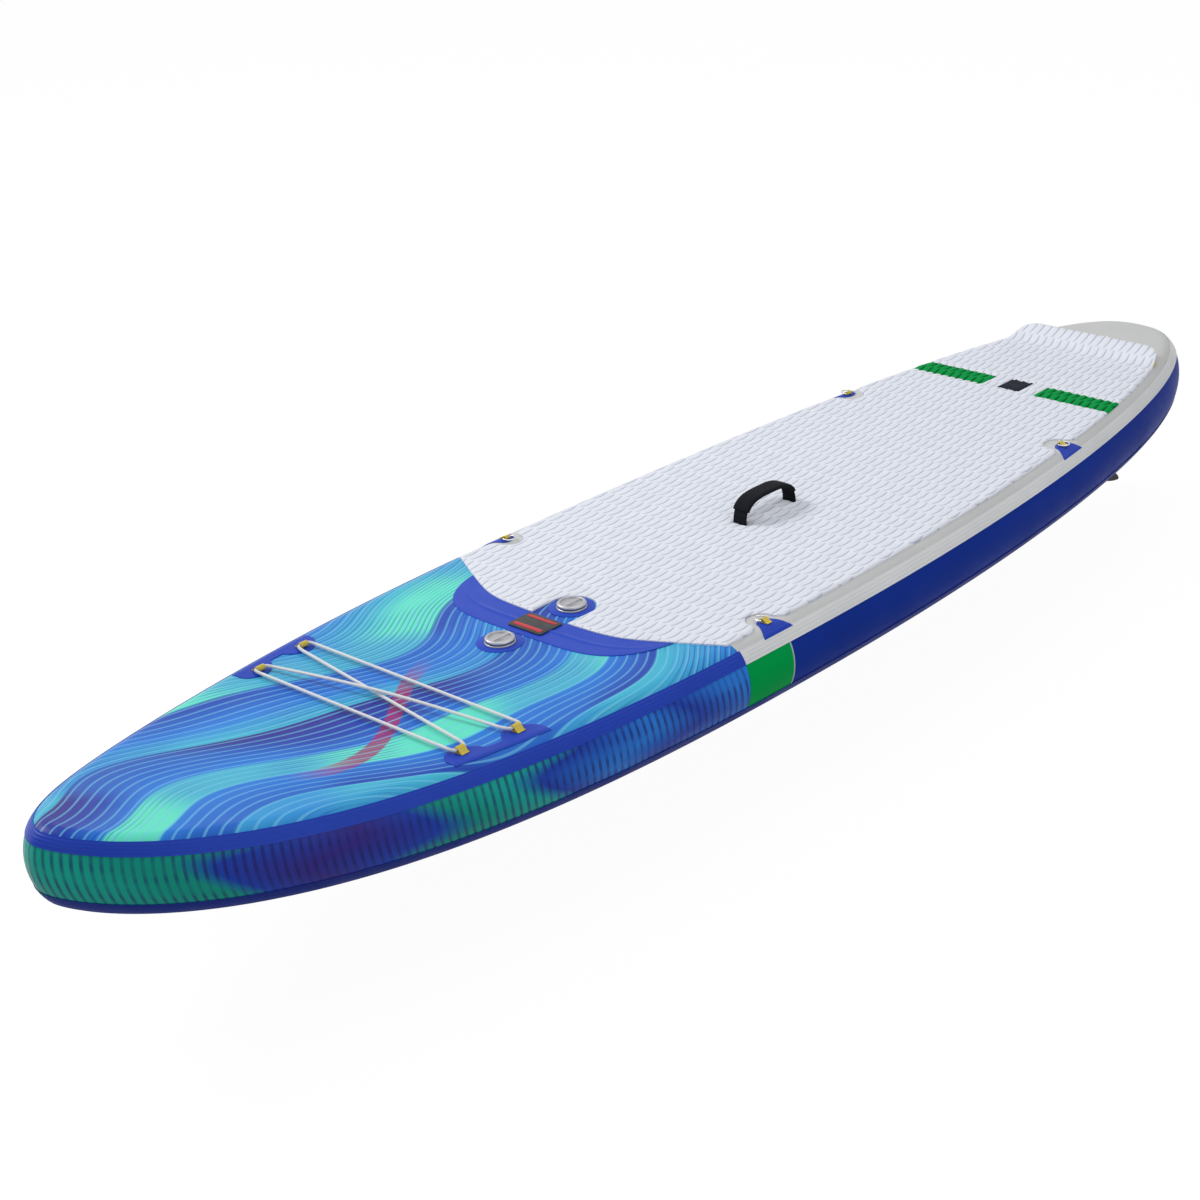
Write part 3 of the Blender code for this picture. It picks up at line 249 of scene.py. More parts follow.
def deck(x, inset=RAIL_DEPTH):
    lean = max(0.0, 1.0 - inset / RAIL_DEPTH)
    return HALF * (1.0 + math.sqrt(1.0 - lean ** 2)) + rocker(x)


def rail_point(angle, sink=0.0):
    """Inset and height on the rail's round, angle up from mid height, sink below the skin."""
    turn = math.radians(angle)
    return RAIL_DEPTH - (RAIL_DEPTH - sink) * math.cos(turn), HALF + (HALF - sink) * math.sin(turn)


def outline_point(turn, inset, height):
    reach = NOSE_RUN if math.cos(turn) >= 0 else TAIL_RUN
    x = WIDEST_X + (reach - inset) * math.cos(turn)
    return x, math.copysign(half_width(x, inset), math.sin(turn)), height + rocker(x)


def mix(low, high, t):
    return low + (high - low) * t


def spread(low, high, steps):
    return [mix(low, high, i / steps) for i in range(steps + 1)]


print("deck height at the nose", round(deck(LENGTH / 2 - RAIL_DEPTH), 4))

# %% [markdown]
# Three helpers do most of the modelling. A grid primitive is laid on a surface point by point and keeps its
# UV map. A Solidify modifier gives a skin its thickness, inwards, so its face stays where it was laid. The
# last helper gives a piece its material, its body and the frame node that it stands for.

# %% Laying helpers
MERGED = 2e-6
TOUCHING = 1e-6
OUTWARDS = (bpy.ops.mesh.normals_make_consistent, {"inside": False})


def merge(distance=MERGED):
    return bpy.ops.mesh.remove_doubles, {"threshold": distance}


def up(_):
    return Vector((0.0, 0.0, 1.0))


def edit(*steps):
    """Runs edit-mode operators on everything in the active piece."""
    bpy.ops.object.mode_set(mode="EDIT")
    bpy.ops.mesh.select_all(action="SELECT")
    for step, options in steps:
        step(**options)
    bpy.ops.object.mode_set(mode="OBJECT")


def activate(piece):
    bpy.ops.object.select_all(action="DESELECT")
    piece.select_set(True)
    bpy.context.view_layer.objects.active = piece


def lay(name, along, across, place, out=up):
    """A grid of along by across faces, each point laid where place(u, v) says, its faces turned to out."""
    bpy.ops.object.select_all(action="DESELECT")
    bpy.ops.mesh.primitive_grid_add(x_subdivisions=along, y_subdivisions=across, size=1)
    piece = bpy.context.object
    piece.name = name
    piece.data.name = name
    for point in piece.data.vertices:
        point.co = place(point.co.x + 0.5, point.co.y + 0.5)
    edit(merge())
    facing = sum(face.normal.dot(out(face.center)) * face.area for face in piece.data.polygons)
    if facing < 0:
        edit((bpy.ops.mesh.flip_normals, {}))
    return piece


def apply(piece, kind, **settings):
    activate(piece)
    change = piece.modifiers.new(kind.lower(), kind)
    for key, value in settings.items():
        setattr(change, key, value)
    bpy.ops.object.modifier_apply(modifier=change.name)
    return piece


def thicken(piece, thickness):
    return apply(piece, "SOLIDIFY", thickness=thickness, offset=-1.0, use_even_offset=True)


def close_ends():
    """Fills the open ends of the active tube and turns its faces outwards."""
    edit((bpy.ops.mesh.fill_holes, {"sides": 0}), OUTWARDS)


def dress(piece, look, body, slot, *stands_for, sharp=35.0):
    """Gives a piece its look, its body and the nodes that it replaces. The slot is not used."""
    activate(piece)
    bpy.ops.object.shade_smooth_by_angle(angle=math.radians(sharp))
    piece.data.materials.clear()
    piece.data.materials.append(look)
    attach(piece, body)
    if stands_for:
        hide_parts(*stands_for)
    print(piece.name, "on", body, len(piece.data.polygons), "faces")
    return piece


print("laying helpers ready")

# %% [markdown]
# Some shapes start from no primitive. An outline with arcs in it, or a turned profile, has its points
# worked out first, so these helpers put them in a new mesh, and operators and modifiers then extrude, turn
# or trim it. The drill is a plain cylinder that is cut away.

# %% Shaping helpers
def new_piece(name, points, edges, faces):
    mesh = bpy.data.meshes.new(name)
    mesh.from_pydata(points, edges, faces)
    piece = bpy.data.objects.new(name, mesh)
    scene.collection.objects.link(piece)
    activate(piece)
    return piece


def cut(piece, cutter, operation="DIFFERENCE"):
    apply(piece, "BOOLEAN", object=cutter, operation=operation, solver="EXACT")
    bpy.data.objects.remove(cutter, do_unlink=True)
    return piece


def drill(piece, spot, radius, depth, sides):
    bpy.ops.mesh.primitive_cylinder_add(vertices=sides, radius=radius, depth=depth, location=spot)
    return cut(piece, bpy.context.object)


def prism(name, outline, low, high):
    """An outline filled as one face and extruded from low to high."""
    piece = new_piece(name, [(x, y, low) for x, y in outline], [], [tuple(range(len(outline)))])
    rise = {"value": (0.0, 0.0, high - low)}
    edit(
        (bpy.ops.mesh.extrude_region_move, {"TRANSFORM_OT_translate": rise}),
        (bpy.ops.mesh.select_all, {"action": "SELECT"}),
        OUTWARDS,
    )
    return piece


def lathe(name, profile, steps=72):
    """A profile of radius and height, turned about z by a Screw modifier. Off the axis it is closed first."""
    count = len(profile)
    sides = count if profile[0][0] > 0 else count - 1
    links = [(i, (i + 1) % count) for i in range(sides)]
    piece = new_piece(name, [(r, 0.0, z) for r, z in profile], links, [])
    apply(piece, "SCREW", steps=steps, render_steps=steps, use_merge_vertices=True, merge_threshold=TOUCHING)
    edit(merge(), OUTWARDS)
    return piece


def copy_of(node, name):
    """A merged copy of a frame node's mesh, to be reworked as a piece of its own."""
    piece = bpy.data.objects.new(name, nodes[node].data.copy())
    scene.collection.objects.link(piece)
    piece.matrix_world = nodes[node].matrix_world
    activate(piece)
    bpy.ops.object.transform_apply(location=True, rotation=True, scale=True)
    edit(merge(TOUCHING))
    return piece


def refinish(look, *names):
    """Frame nodes whose shape is right keep it and get a better finish."""
    for name in names:
        nodes[name].data.materials.clear()
        nodes[name].data.materials.append(look)


def shift(piece, x):
    piece.data.transform(Matrix.Translation((x, 0.0, 0.0)))
    return piece


print("shaping helpers ready")

# %% [markdown]
# Every finish is a small node graph. These helpers write one in a few lines: a number that changes over the
# surface is a chain of Math nodes, and grain is a noise that feeds Bump. Constant values sit on the
# shader's own sockets, where an exported model keeps them.

# %% Material helpers
DRIFT = (0.3, 0.7)
DRIFT_DETAIL = 3.0


class Finish:
    """A Principled material and the nodes that shape it."""

    def __init__(self, name, roughness=0.5, metallic=0.0, coordinates="Object"):
        self.material = bpy.data.materials.new(name)
        self.material.use_nodes = True
        self.tree = self.material.node_tree
        self.shader = self.tree.nodes["Principled BSDF"]
        self.shader.inputs["Roughness"].default_value = roughness
        self.shader.inputs["Metallic"].default_value = metallic
        self.place = new_node(self.tree, "ShaderNodeTexCoord").outputs[coordinates]
        split = new_node(self.tree, "ShaderNodeSeparateXYZ")
        self.tree.links.new(self.place, split.inputs[0])
        self.x, self.y, self.z = split.outputs

    def feed(self, socket, value):
        if isinstance(value, (int, float)):
            socket.default_value = value
        elif isinstance(value, tuple):
            socket.default_value = (*value, 1.0)
        else:
            self.tree.links.new(value, socket)

    def calc(self, operation, *values):
        made = new_node(self.tree, "ShaderNodeMath", operation=operation)
        for socket, value in zip(made.inputs, values):
            self.feed(socket, value)
        return made.outputs[0]

    def add(self, a, b):
        return self.calc("ADD", a, b)

    def times(self, a, b):
        return self.calc("MULTIPLY", a, b)

    def wave(self, value, pitch, start=0.0):
        """A sine that repeats every pitch, from -1 to 1."""
        return self.calc("SINE", self.calc("MULTIPLY_ADD", value, 2 * math.pi / pitch, start))

    def sway(self, value, pitch, start, reach):
        """A wave that swings by reach to either side."""
        return self.times(self.wave(value, pitch, start), reach)

    def step(self, value, low, high):
        """0 below low, 1 above high and smooth between."""
        made = new_node(self.tree, "ShaderNodeMapRange", interpolation_type="SMOOTHSTEP")
        for socket, number in zip(made.inputs, (value, low, high)):
            self.feed(socket, number)
        return made.outputs[0]

    def between(self, value, low, high, soft):
        """1 from low to high, its two edges soft wide."""
        flipped = self.times(value, -1.0)
        return self.times(self.step(value, low, low + soft), self.step(flipped, -high, soft - high))

    def noise(self, scale, detail=2.0, stretch=None):
        made = new_node(self.tree, "ShaderNodeTexNoise")
        made.inputs["Scale"].default_value = scale
        made.inputs["Detail"].default_value = detail
        place = self.place
        if stretch:
            turn = new_node(self.tree, "ShaderNodeMapping")
            turn.inputs["Scale"].default_value = stretch
            self.tree.links.new(place, turn.inputs["Vector"])
            place = turn.outputs[0]
        self.tree.links.new(place, made.inputs["Vector"])
        return made.outputs["Fac"]

    def ramp(self, value, stops):
        made = new_node(self.tree, "ShaderNodeValToRGB")
        steps = made.color_ramp.elements
        while len(steps) < len(stops):
            steps.new(1.0)
        for element, (spot, colour) in zip(steps, stops):
            element.position = spot
            element.color = (*colour, 1.0)
        self.tree.links.new(value, made.inputs["Fac"])
        return made.outputs["Color"]

    def blend(self, share, under, over):
        made = new_node(self.tree, "ShaderNodeMix", data_type="RGBA")
        self.feed(made.inputs["Factor"], share)
        self.feed(made.inputs[6], under)
        self.feed(made.inputs[7], over)
        return made.outputs[2]

    def colour(self, value):
        self.feed(self.shader.inputs["Base Color"], value)

    def mottle(self, colour, spread=0.06, scale=9.0):
        """A colour that drifts a little lighter and darker over the surface."""
        darker = tuple(channel * (1.0 - spread) for channel in colour)
        lighter = tuple(min(1.0, channel * (1.0 + spread)) for channel in colour)
        return self.ramp(self.noise(scale, DRIFT_DETAIL), tuple(zip(DRIFT, (darker, lighter))))

    def gloss(self, low, high, scale=14.0):
        """A roughness that drifts from low to high over the surface."""
        made = new_node(self.tree, "ShaderNodeMapRange")
        for socket, number in zip(made.inputs, (self.noise(scale, DRIFT_DETAIL), *DRIFT, low, high)):
            self.feed(socket, number)
        self.feed(self.shader.inputs["Roughness"], made.outputs[0])

    def bump(self, height, depth):
        """depth is the real height in metres that a height of 1 stands for."""
        made = new_node(self.tree, "ShaderNodeBump")
        made.inputs["Strength"].default_value = 1.0
        made.inputs["Distance"].default_value = depth
        self.feed(made.inputs["Height"], height)
        self.tree.links.new(made.outputs[0], self.shader.inputs["Normal"])

    def weave(self, across, along, pitch):
        """Threads over and under each other, as a height from 0 to 1."""
        over = self.times(self.wave(across, pitch), self.wave(along, pitch))
        return self.calc("MULTIPLY_ADD", over, 0.5, 0.5)

    def sockets(self, **values):
        for name, value in values.items():
            self.shader.inputs[name.replace("_", " ")].default_value = value
        return self


print("material helpers ready")

# %% [markdown]
# Coated fabric is the board's main stuff: a woven polyester base sealed in PVC. It is satin, with a faint
# weave that shows only where light grazes it. Royal blue covers the tapes and patches, pale grey the deck
# behind the colour break and its tape. The bottom and its tape get a darker, matt copy of royal blue, as
# painted shade for the underside.

# %% Coated fabrics
ROYAL = (0.018, 0.058, 0.46)
PALE = (0.75, 0.76, 0.76)
MARGIN = (0.60, 0.60, 0.59)
YOKE_BLUE = (0.023, 0.070, 0.51)
# Royal blue at about half its brightness: painted shade for the underside.
ROYAL_PAINTED_SHADE = (0.010, 0.026, 0.22)
SATIN = 0.10
MATT = 0.05
# A drift is how far a colour varies and its noise's scale; a gloss is a roughness from, to and its scale.
COAT_DRIFT = (0.05, 6.0)
COAT_GLOSS = (0.30, 0.42)
TAPE_GLOSS = (0.36, 0.48)
MATT_GLOSS = (0.45, 0.55)
PATCH_WEAVE = 0.0016
WEAVE_DEPTH = 0.00006


def coated(name, colour, gloss=COAT_GLOSS, shine=SATIN):
    made = Finish(name)
    made.colour(made.mottle(colour, *COAT_DRIFT))
    made.gloss(*gloss)
    made.bump(made.weave(made.x, made.y, PATCH_WEAVE), WEAVE_DEPTH)
    return made.sockets(Specular_IOR_Level=shine).material


blue_pvc = coated("royal_blue_coated_fabric", ROYAL)
yoke_pvc = coated("bright_blue_coated_patch", YOKE_BLUE)
# The underside's fabric: royal blue with painted shade, darker and matt.
royal_pvc_painted_shade = coated("royal_blue_fabric_painted_shade", ROYAL_PAINTED_SHADE, MATT_GLOSS, MATT)
pale_pvc = coated("pale_coated_tape", PALE, TAPE_GLOSS)
print(blue_pvc.name, yoke_pvc.name, royal_pvc_painted_shade.name, pale_pvc.name)

# %% [markdown]
# The front of the deck and of the rail is printed. The design here is a plain one: long wave ribbons in
# mint, sky, royal blue and violet with a thin crimson one, drawn over with pinstripes that follow the
# waves. The flow is the sum of two sines, so its ribbons swell and narrow as they run.

# %% Wave ribbons
MINT = (0.13, 0.80, 0.58)
AQUA = (0.06, 0.50, 0.66)
SKY = (0.025, 0.21, 0.72)
DEEP = (0.014, 0.055, 0.42)
VIOLET = (0.040, 0.025, 0.24)
CRIMSON = (0.42, 0.020, 0.10)
LIGHT_BLUE = (0.20, 0.62, 0.86)
RIBBONS = (
    (0.00, SKY), (0.10, AQUA), (0.16, MINT), (0.255, MINT), (0.26, DEEP), (0.36, SKY), (0.44, AQUA),
    (0.445, VIOLET), (0.53, DEEP), (0.60, SKY), (0.605, MINT), (0.69, MINT), (0.695, SKY), (0.80, DEEP),
    (0.805, AQUA), (1.0, SKY),
)
RIBBON_RATE = 1.12
# Each wave is its pitch, its start and how far it swings.
SLOW_WAVE = (1.15, 0.6, 0.085)
QUICK_WAVE = (0.46, 2.1, 0.022)
QUICK_LEAN = 0.5
WASH_WAVE = (0.9, 1.0, 0.10)
WASH_LEAN = 0.55
WASH_PITCH = (0.36, 0.4)
WASH_EDGES = (-0.3, 0.8)
WASH_SHARE = 0.55
ACCENT_WAVE = (0.80, 2.4, 0.10)
# Where the crimson band starts and ends, and how soft its edge is, across the board and along it.
ACCENT_ACROSS = (0.030, 0.070, 0.004)
ACCENT_ALONG = (0.70, 1.22, 0.16)
ACCENT_SHARE = 0.85


def wave_ribbons(made):
    """The flow that the design follows over the deck's plan, and its ribbons of colour."""
    slow = made.sway(made.x, *SLOW_WAVE)
    quick = made.sway(made.add(made.x, made.times(made.y, QUICK_LEAN)), *QUICK_WAVE)
    flow = made.add(made.y, made.add(slow, quick))
    ribbons = made.ramp(made.calc("MULTIPLY_ADD", flow, RIBBON_RATE, 0.5), RIBBONS)
    cross = made.add(made.times(made.x, WASH_LEAN), made.sway(made.y, *WASH_WAVE))
    wash = made.step(made.wave(cross, *WASH_PITCH), *WASH_EDGES)
    ribbons = made.blend(made.times(wash, WASH_SHARE), ribbons, SKY)
    accent = made.add(made.y, made.sway(made.x, *ACCENT_WAVE))
    band = made.times(made.between(accent, *ACCENT_ACROSS), made.between(made.x, *ACCENT_ALONG))
    return flow, made.blend(made.times(band, ACCENT_SHARE), ribbons, CRIMSON)


print("ribbons:", len(RIBBONS), "stops")

# %% [markdown]
# Pinstripes are the crests of a quick sine along the same flow. Dark ones come and go in patches, light
# ones run through. Behind the colour break the same sheet is bare, in the pale grey of the margin round the
# pad.

# %% Deck print
STRIPE_FULL = 0.4


def pinstripes(made, value, pitch, width):
    """Thin lines across a value, 1 on a line."""
    return made.step(made.wave(value, pitch), 1.0 - width, 1.0 - width * STRIPE_FULL)


FINE_LINES = (0.0105, 0.62)
FINE_NOISE = (3.2, 1.0, (1.0, 2.2, 1.0))
FINE_PATCHES = (0.42, 0.60)
FINE_SHARE = 0.62
LIGHT_LINES = (0.021, 0.30)
LIGHT_OFFSET = 0.0052
LIGHT_SHARE = 0.45
BREAK_SOFT = 0.0006
MARGIN_DRIFT = (0.03, 4.0)
DECK_GLOSS = (0.30, 0.40)
PRINT_WEAVE = 0.0018
deck_print = Finish("printed_deck_fabric")
flow, ribbons = wave_ribbons(deck_print)
fine = pinstripes(deck_print, flow, *FINE_LINES)
patchy = deck_print.step(deck_print.noise(*FINE_NOISE), *FINE_PATCHES)
lined = deck_print.blend(deck_print.times(fine, deck_print.times(patchy, FINE_SHARE)), ribbons, DEEP)
light = pinstripes(deck_print, deck_print.add(flow, LIGHT_OFFSET), *LIGHT_LINES)
lined = deck_print.blend(deck_print.times(light, LIGHT_SHARE), lined, LIGHT_BLUE)
ahead_of_break = deck_print.step(deck_print.x, COLOUR_BREAK_X - BREAK_SOFT, COLOUR_BREAK_X + BREAK_SOFT)
deck_print.colour(deck_print.blend(ahead_of_break, deck_print.mottle(MARGIN, *MARGIN_DRIFT), lined))
deck_print.gloss(*DECK_GLOSS)
deck_print.bump(deck_print.weave(deck_print.x, deck_print.y, PRINT_WEAVE), WEAVE_DEPTH)
deck_print.sockets(Specular_IOR_Level=SATIN)
print("deck print ends at", COLOUR_BREAK_X)

# %% [markdown]
# The rail's print runs round the nose, so it reads a UV map that counts metres from the nose, and not the
# plan. Zones of teal, blue and violet drift into each other under upright ribs of dark ink. The rail behind
# it is plain blue with one green block, edged by a thin pale line.

# %% Rail print
TEAL = (0.004, 0.30, 0.22)
BRIGHT_TEAL = (0.008, 0.40, 0.30)
SEA_TEAL = (0.008, 0.40, 0.34)
INK = (0.012, 0.018, 0.14)
RAIL_ZONES = (
    (0.0, BRIGHT_TEAL), (0.14, TEAL), (0.20, TEAL), (0.25, DEEP), (0.36, VIOLET), (0.46, DEEP),
    (0.52, TEAL), (0.63, SEA_TEAL), (0.68, DEEP), (0.80, SKY), (0.88, DEEP), (1.0, SKY),
)
ZONE_RATE = 0.70
ZONE_WAVE = (0.95, 0.4, 0.05)
ZONE_LEAN = 1.6
RIBS = (0.0165, 0.95)
RIB_LEAN = 0.018
RIB_NOISE = (4.0, 1.0)
RIB_PATCHES = (0.30, 0.62)
RIB_SHARE = (0.45, 0.25)
WALL_HEIGHT = 0.11
RAIL_GLOSS = (0.32, 0.42, 6.0)
rail_print = Finish("printed_rail_fabric", coordinates="UV")
swell = rail_print.sway(rail_print.add(rail_print.y, rail_print.times(rail_print.x, ZONE_LEAN)), *ZONE_WAVE)
zone = rail_print.times(rail_print.add(rail_print.calc("ABSOLUTE", rail_print.x), swell), ZONE_RATE)
slant = rail_print.add(rail_print.x, rail_print.times(rail_print.y, RIB_LEAN))
patchy = rail_print.step(rail_print.noise(*RIB_NOISE), *RIB_PATCHES)
ribs = rail_print.times(
    pinstripes(rail_print, slant, *RIBS), rail_print.calc("MULTIPLY_ADD", patchy, *RIB_SHARE))
rail_print.colour(rail_print.blend(ribs, rail_print.ramp(zone, RAIL_ZONES), INK))
rail_print.gloss(*RAIL_GLOSS)
wall_y = rail_print.times(rail_print.y, WALL_HEIGHT)
rail_print.bump(rail_print.weave(rail_print.x, wall_y, PRINT_WEAVE), WEAVE_DEPTH)
rail_print.sockets(Specular_IOR_Level=SATIN)
print("rail print with", len(RAIL_ZONES), "zones")

# %% Blue rail
RAIL_BLUE = (0.009, 0.036, 0.30)
GREEN = (0.000, 0.36, 0.075)
PALE_LINE = (0.55, 0.62, 0.55)
GREEN_X = (0.207, 0.3345)
PAINT_SOFT = 0.0008
LINE = 0.0022
LINE_FULL = 0.6
LINE_SHARE = 0.8
RAIL_DRIFT = (0.06, 5.0)
BLUE_GLOSS = (0.34, 0.44)
RAIL_SHINE = 0.015
rail_blue = Finish("blue_rail_fabric")
block = rail_blue.between(rail_blue.x, *GREEN_X, PAINT_SOFT)
off_line = rail_blue.calc("ABSOLUTE", rail_blue.add(rail_blue.x, -GREEN_X[0]))
edge = rail_blue.step(off_line, LINE, LINE * LINE_FULL)
painted = rail_blue.blend(block, rail_blue.mottle(RAIL_BLUE, *RAIL_DRIFT), GREEN)
rail_blue.colour(rail_blue.blend(rail_blue.times(edge, LINE_SHARE), painted, PALE_LINE))
rail_blue.gloss(*BLUE_GLOSS)
rail_blue.bump(rail_blue.weave(rail_blue.x, rail_blue.z, PRINT_WEAVE), WEAVE_DEPTH)
rail_blue.sockets(Specular_IOR_Level=RAIL_SHINE)
print("green block from", GREEN_X[0], "to", GREEN_X[1])

# %% [markdown]
# Now the hull. The deck is one sheet that turns down over the shoulders and ends under the seam tape. A
# grid runs from nose to tail; across it come the starboard shoulder, the flat and the port shoulder. At the
# tips the two shoulders fold onto each other and their doubles are merged, so the sheet has no open seam.

# %% Deck and bottom skins
SKIN = 0.002
SHOULDER_ROWS = 10
FLAT_ROWS = 28
HULL_ROWS = 2 * SHOULDER_ROWS + FLAT_ROWS
HULL_COLUMNS = 240


def sheet_point(u, v, top=True):
    turn = math.pi * u
    row = v * HULL_ROWS
    away = min(row, HULL_ROWS - row)
    angle = mix(SEAM_ANGLE, 90.0, min(1.0, away / SHOULDER_ROWS))
    inset, height = rail_point(angle)
    x, y, z = outline_point(turn, inset, height if top else THICKNESS - height)
    side = max(-1.0, min(1.0, (row - HULL_ROWS / 2) / (FLAT_ROWS / 2)))
    return x, y * side, z


THROAT = 0.0193
THROAT_SIDES = 48
DRILL = 0.1
deck_skin = lay("deck_skin", HULL_COLUMNS, HULL_ROWS, sheet_point)
thicken(deck_skin, SKIN)
VALVES = {}
for end in ("front", "rear"):
    low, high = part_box(f"valve_cap_{end}")
    VALVES[end] = (low.x + high.x) / 2
    drill(deck_skin, (VALVES[end], 0.0, THICKNESS), THROAT, DRILL, THROAT_SIDES)
dress(deck_skin, deck_print.material, "board", "deck_fabric", "deck_panel")


def bottom_point(u, v):
    return sheet_point(u, v, top=False)


def down(_):
    return Vector((0.0, 0.0, -1.0))


bottom_skin = lay("bottom_skin", HULL_COLUMNS, HULL_ROWS, bottom_point, down)
thicken(bottom_skin, SKIN)
# The bottom skin gets the darker copy of royal blue, painted shade for the underside.
dress(bottom_skin, royal_pvc_painted_shade, "board", "royal_blue_pvc", "bottom_panel")

# %% [markdown]
# The rail wall is a band round the outline. It is two pieces that meet at the colour break: the printed one
# runs round the nose and the blue one round the tail. The tapes are narrower bands laid over the two seams,
# pressed with fine lengthwise ridges by the welding wheel.

# %% Rail walls and seam tapes
SPLIT = math.acos((COLOUR_BREAK_X - WIDEST_X) / NOSE_RUN)
JOIN = 0.0002
TAPE = 0.0010
RIDGE = 0.00050
RIDGES = 4
BAND_ROWS = 14
TAPE_ROWS = 32
LOW_TAPE_ROWS = 12
FRONT_COLUMNS = 200
REAR_COLUMNS = 240
ROUND_COLUMNS = 400
SLENDER = 4.0


def outward(point):
    return Vector((point.x - WIDEST_X, SLENDER * point.y, 0.0))


def band(name, first, last, low, high, sink, columns, rows, mirror=False):
    """A band round the outline between two turns and two rail angles."""

    def place(u, v):
        inset, height = rail_point(mix(low, high, v), sink(v))
        return outline_point(mix(first, last, u), inset, THICKNESS - height if mirror else height)

    return lay(name, columns, rows, place, outward)


def measure_round(piece, first, last, columns):
    """Rewrites a band's UV map in metres from its middle, so that a print keeps its pitch round the nose."""
    spots = [Vector(outline_point(turn, 0.0, HALF)) for turn in spread(first, last, columns)]
    lengths = [0.0]
    for before, after in zip(spots, spots[1:]):
        lengths.append(lengths[-1] + (after - before).length)
    for corner in piece.data.uv_layers.active.data:
        corner.uv.x = lengths[round(corner.uv.x * columns)] - lengths[columns // 2]
    return piece


def wall_face(_):
    return 0.0


def tape_face(v):
    """The tape stands proud of the skin, with fine ridges along it."""
    return -LAID_GAP - TAPE + RIDGE * (0.5 - 0.5 * math.cos(2 * math.pi * RIDGES * v))


FRONT = (-SPLIT, SPLIT)
REAR = (SPLIT + JOIN, 2 * math.pi - SPLIT - JOIN)
WALL = (-SEAM_ANGLE, SEAM_ANGLE)
ROUND = (0.0, 2 * math.pi)
front_wall = band("rail_skin_front", *FRONT, *WALL, wall_face, FRONT_COLUMNS, BAND_ROWS)
measure_round(front_wall, *FRONT, FRONT_COLUMNS)
dress(thicken(front_wall, SKIN), rail_print.material, "board", "printed_rail", "rail_wall_front")
rear_wall = band("rail_skin_rear", *REAR, *WALL, wall_face, REAR_COLUMNS, BAND_ROWS)
dress(thicken(rear_wall, SKIN), rail_blue.material, "board", "royal_blue_pvc", "rail_wall_rear")
front_tape = band("seam_tape_front", *FRONT, *TAPE_ANGLES, tape_face, FRONT_COLUMNS, TAPE_ROWS)
dress(thicken(front_tape, TAPE), blue_pvc, "board", "royal_blue_pvc", "top_tape_front")
rear_tape = band("seam_tape_rear", *REAR, *TAPE_ANGLES, tape_face, REAR_COLUMNS, TAPE_ROWS)
dress(thicken(rear_tape, TAPE), pale_pvc, "board", "pale_tape", "top_tape_rear")
low_tape = band(
    "seam_tape_bottom", *ROUND, *TAPE_ANGLES, tape_face, ROUND_COLUMNS, LOW_TAPE_ROWS, mirror=True)
# The bottom tape gets the darker copy of royal blue, painted shade for the underside.
dress(thicken(low_tape, TAPE), royal_pvc_painted_shade, "board", "royal_blue_pvc", "bottom_tape")

# %% [markdown]
# The deck pad is closed-cell foam, pressed with rows of short curved grooves like fish scales. Its finish
# is fine cells, with painted shade in the grooves: a darker tint where shadow falls. The shader finds a
# groove by the same rule that presses it into the mesh below.

# %% Foam finish
SCALE_LENGTH = 0.048
SCALE_PITCH = 0.021
SCALE_RISE = 0.0040
SCALE_LEAN = 1.2
SCALE_FADE = 0.22
SCALE_START_X = -0.037
WHITE_FOAM = (0.80, 0.82, 0.88)
# The two darker groove colours are painted shade, laid in the grooves where shadow falls.
WHITE_FOAM_PAINTED_SHADE = (0.36, 0.41, 0.53)
GREEN_FOAM = (0.000, 0.30, 0.058)
GREEN_FOAM_PAINTED_SHADE = (0.000, 0.030, 0.005)
DARK_FOAM = (0.018, 0.020, 0.030)
YELLOW_FOAM = (0.62, 0.55, 0.04)
# How wide and how strong the painted groove shade is.
PAINTED_SHADE_WIDTH = 0.0029
GREEN_PAINTED_SHADE_WIDTH = 0.0052
GROOVE_BOTTOM = 0.0005
PAINTED_SHADE_SHARE = 0.8
FOAM_DRIFT = (0.03, 30.0)
FOAM_GLOSS = (0.62, 0.78, 60.0)
FOAM_CELLS = 1800.0
FOAM_DEPTH = 0.00012
FOAM_SHINE = 0.06


def painted_groove_shade(made, width):
    """Painted shade: 1 along the bottom of a groove, fading out at its two ends."""
    column = made.calc("DIVIDE", made.add(made.x, -SCALE_START_X), SCALE_LENGTH)
    part = made.calc("FRACT", column)
    arch = made.calc("SINE", made.times(made.calc("POWER", part, SCALE_LEAN), math.pi))
    stagger = made.calc("FRACT", made.times(made.calc("FLOOR", column), 0.5))
    straight = made.add(made.y, made.times(arch, -SCALE_RISE))
    row = made.add(made.calc("DIVIDE", straight, SCALE_PITCH), stagger)
    off = made.calc("ABSOLUTE", made.add(made.calc("FRACT", made.add(row, 0.5)), -0.5))
    near = made.step(made.times(off, SCALE_PITCH), width, GROOVE_BOTTOM)
    ends = made.calc("POWER", made.calc("SINE", made.times(part, math.pi)), SCALE_FADE)
    return made.times(near, made.times(ends, PAINTED_SHADE_SHARE))


def foam(name, colour, painted_shade=None, width=PAINTED_SHADE_WIDTH):
    made = Finish(name)
    base = made.mottle(colour, *FOAM_DRIFT)
    # Painted shade darkens the foam along its grooves.
    if painted_shade:
        base = made.blend(painted_groove_shade(made, width), base, painted_shade)
    made.colour(base)
    made.gloss(*FOAM_GLOSS)
    made.bump(made.noise(FOAM_CELLS), FOAM_DEPTH)
    return made.sockets(Specular_IOR_Level=FOAM_SHINE).material


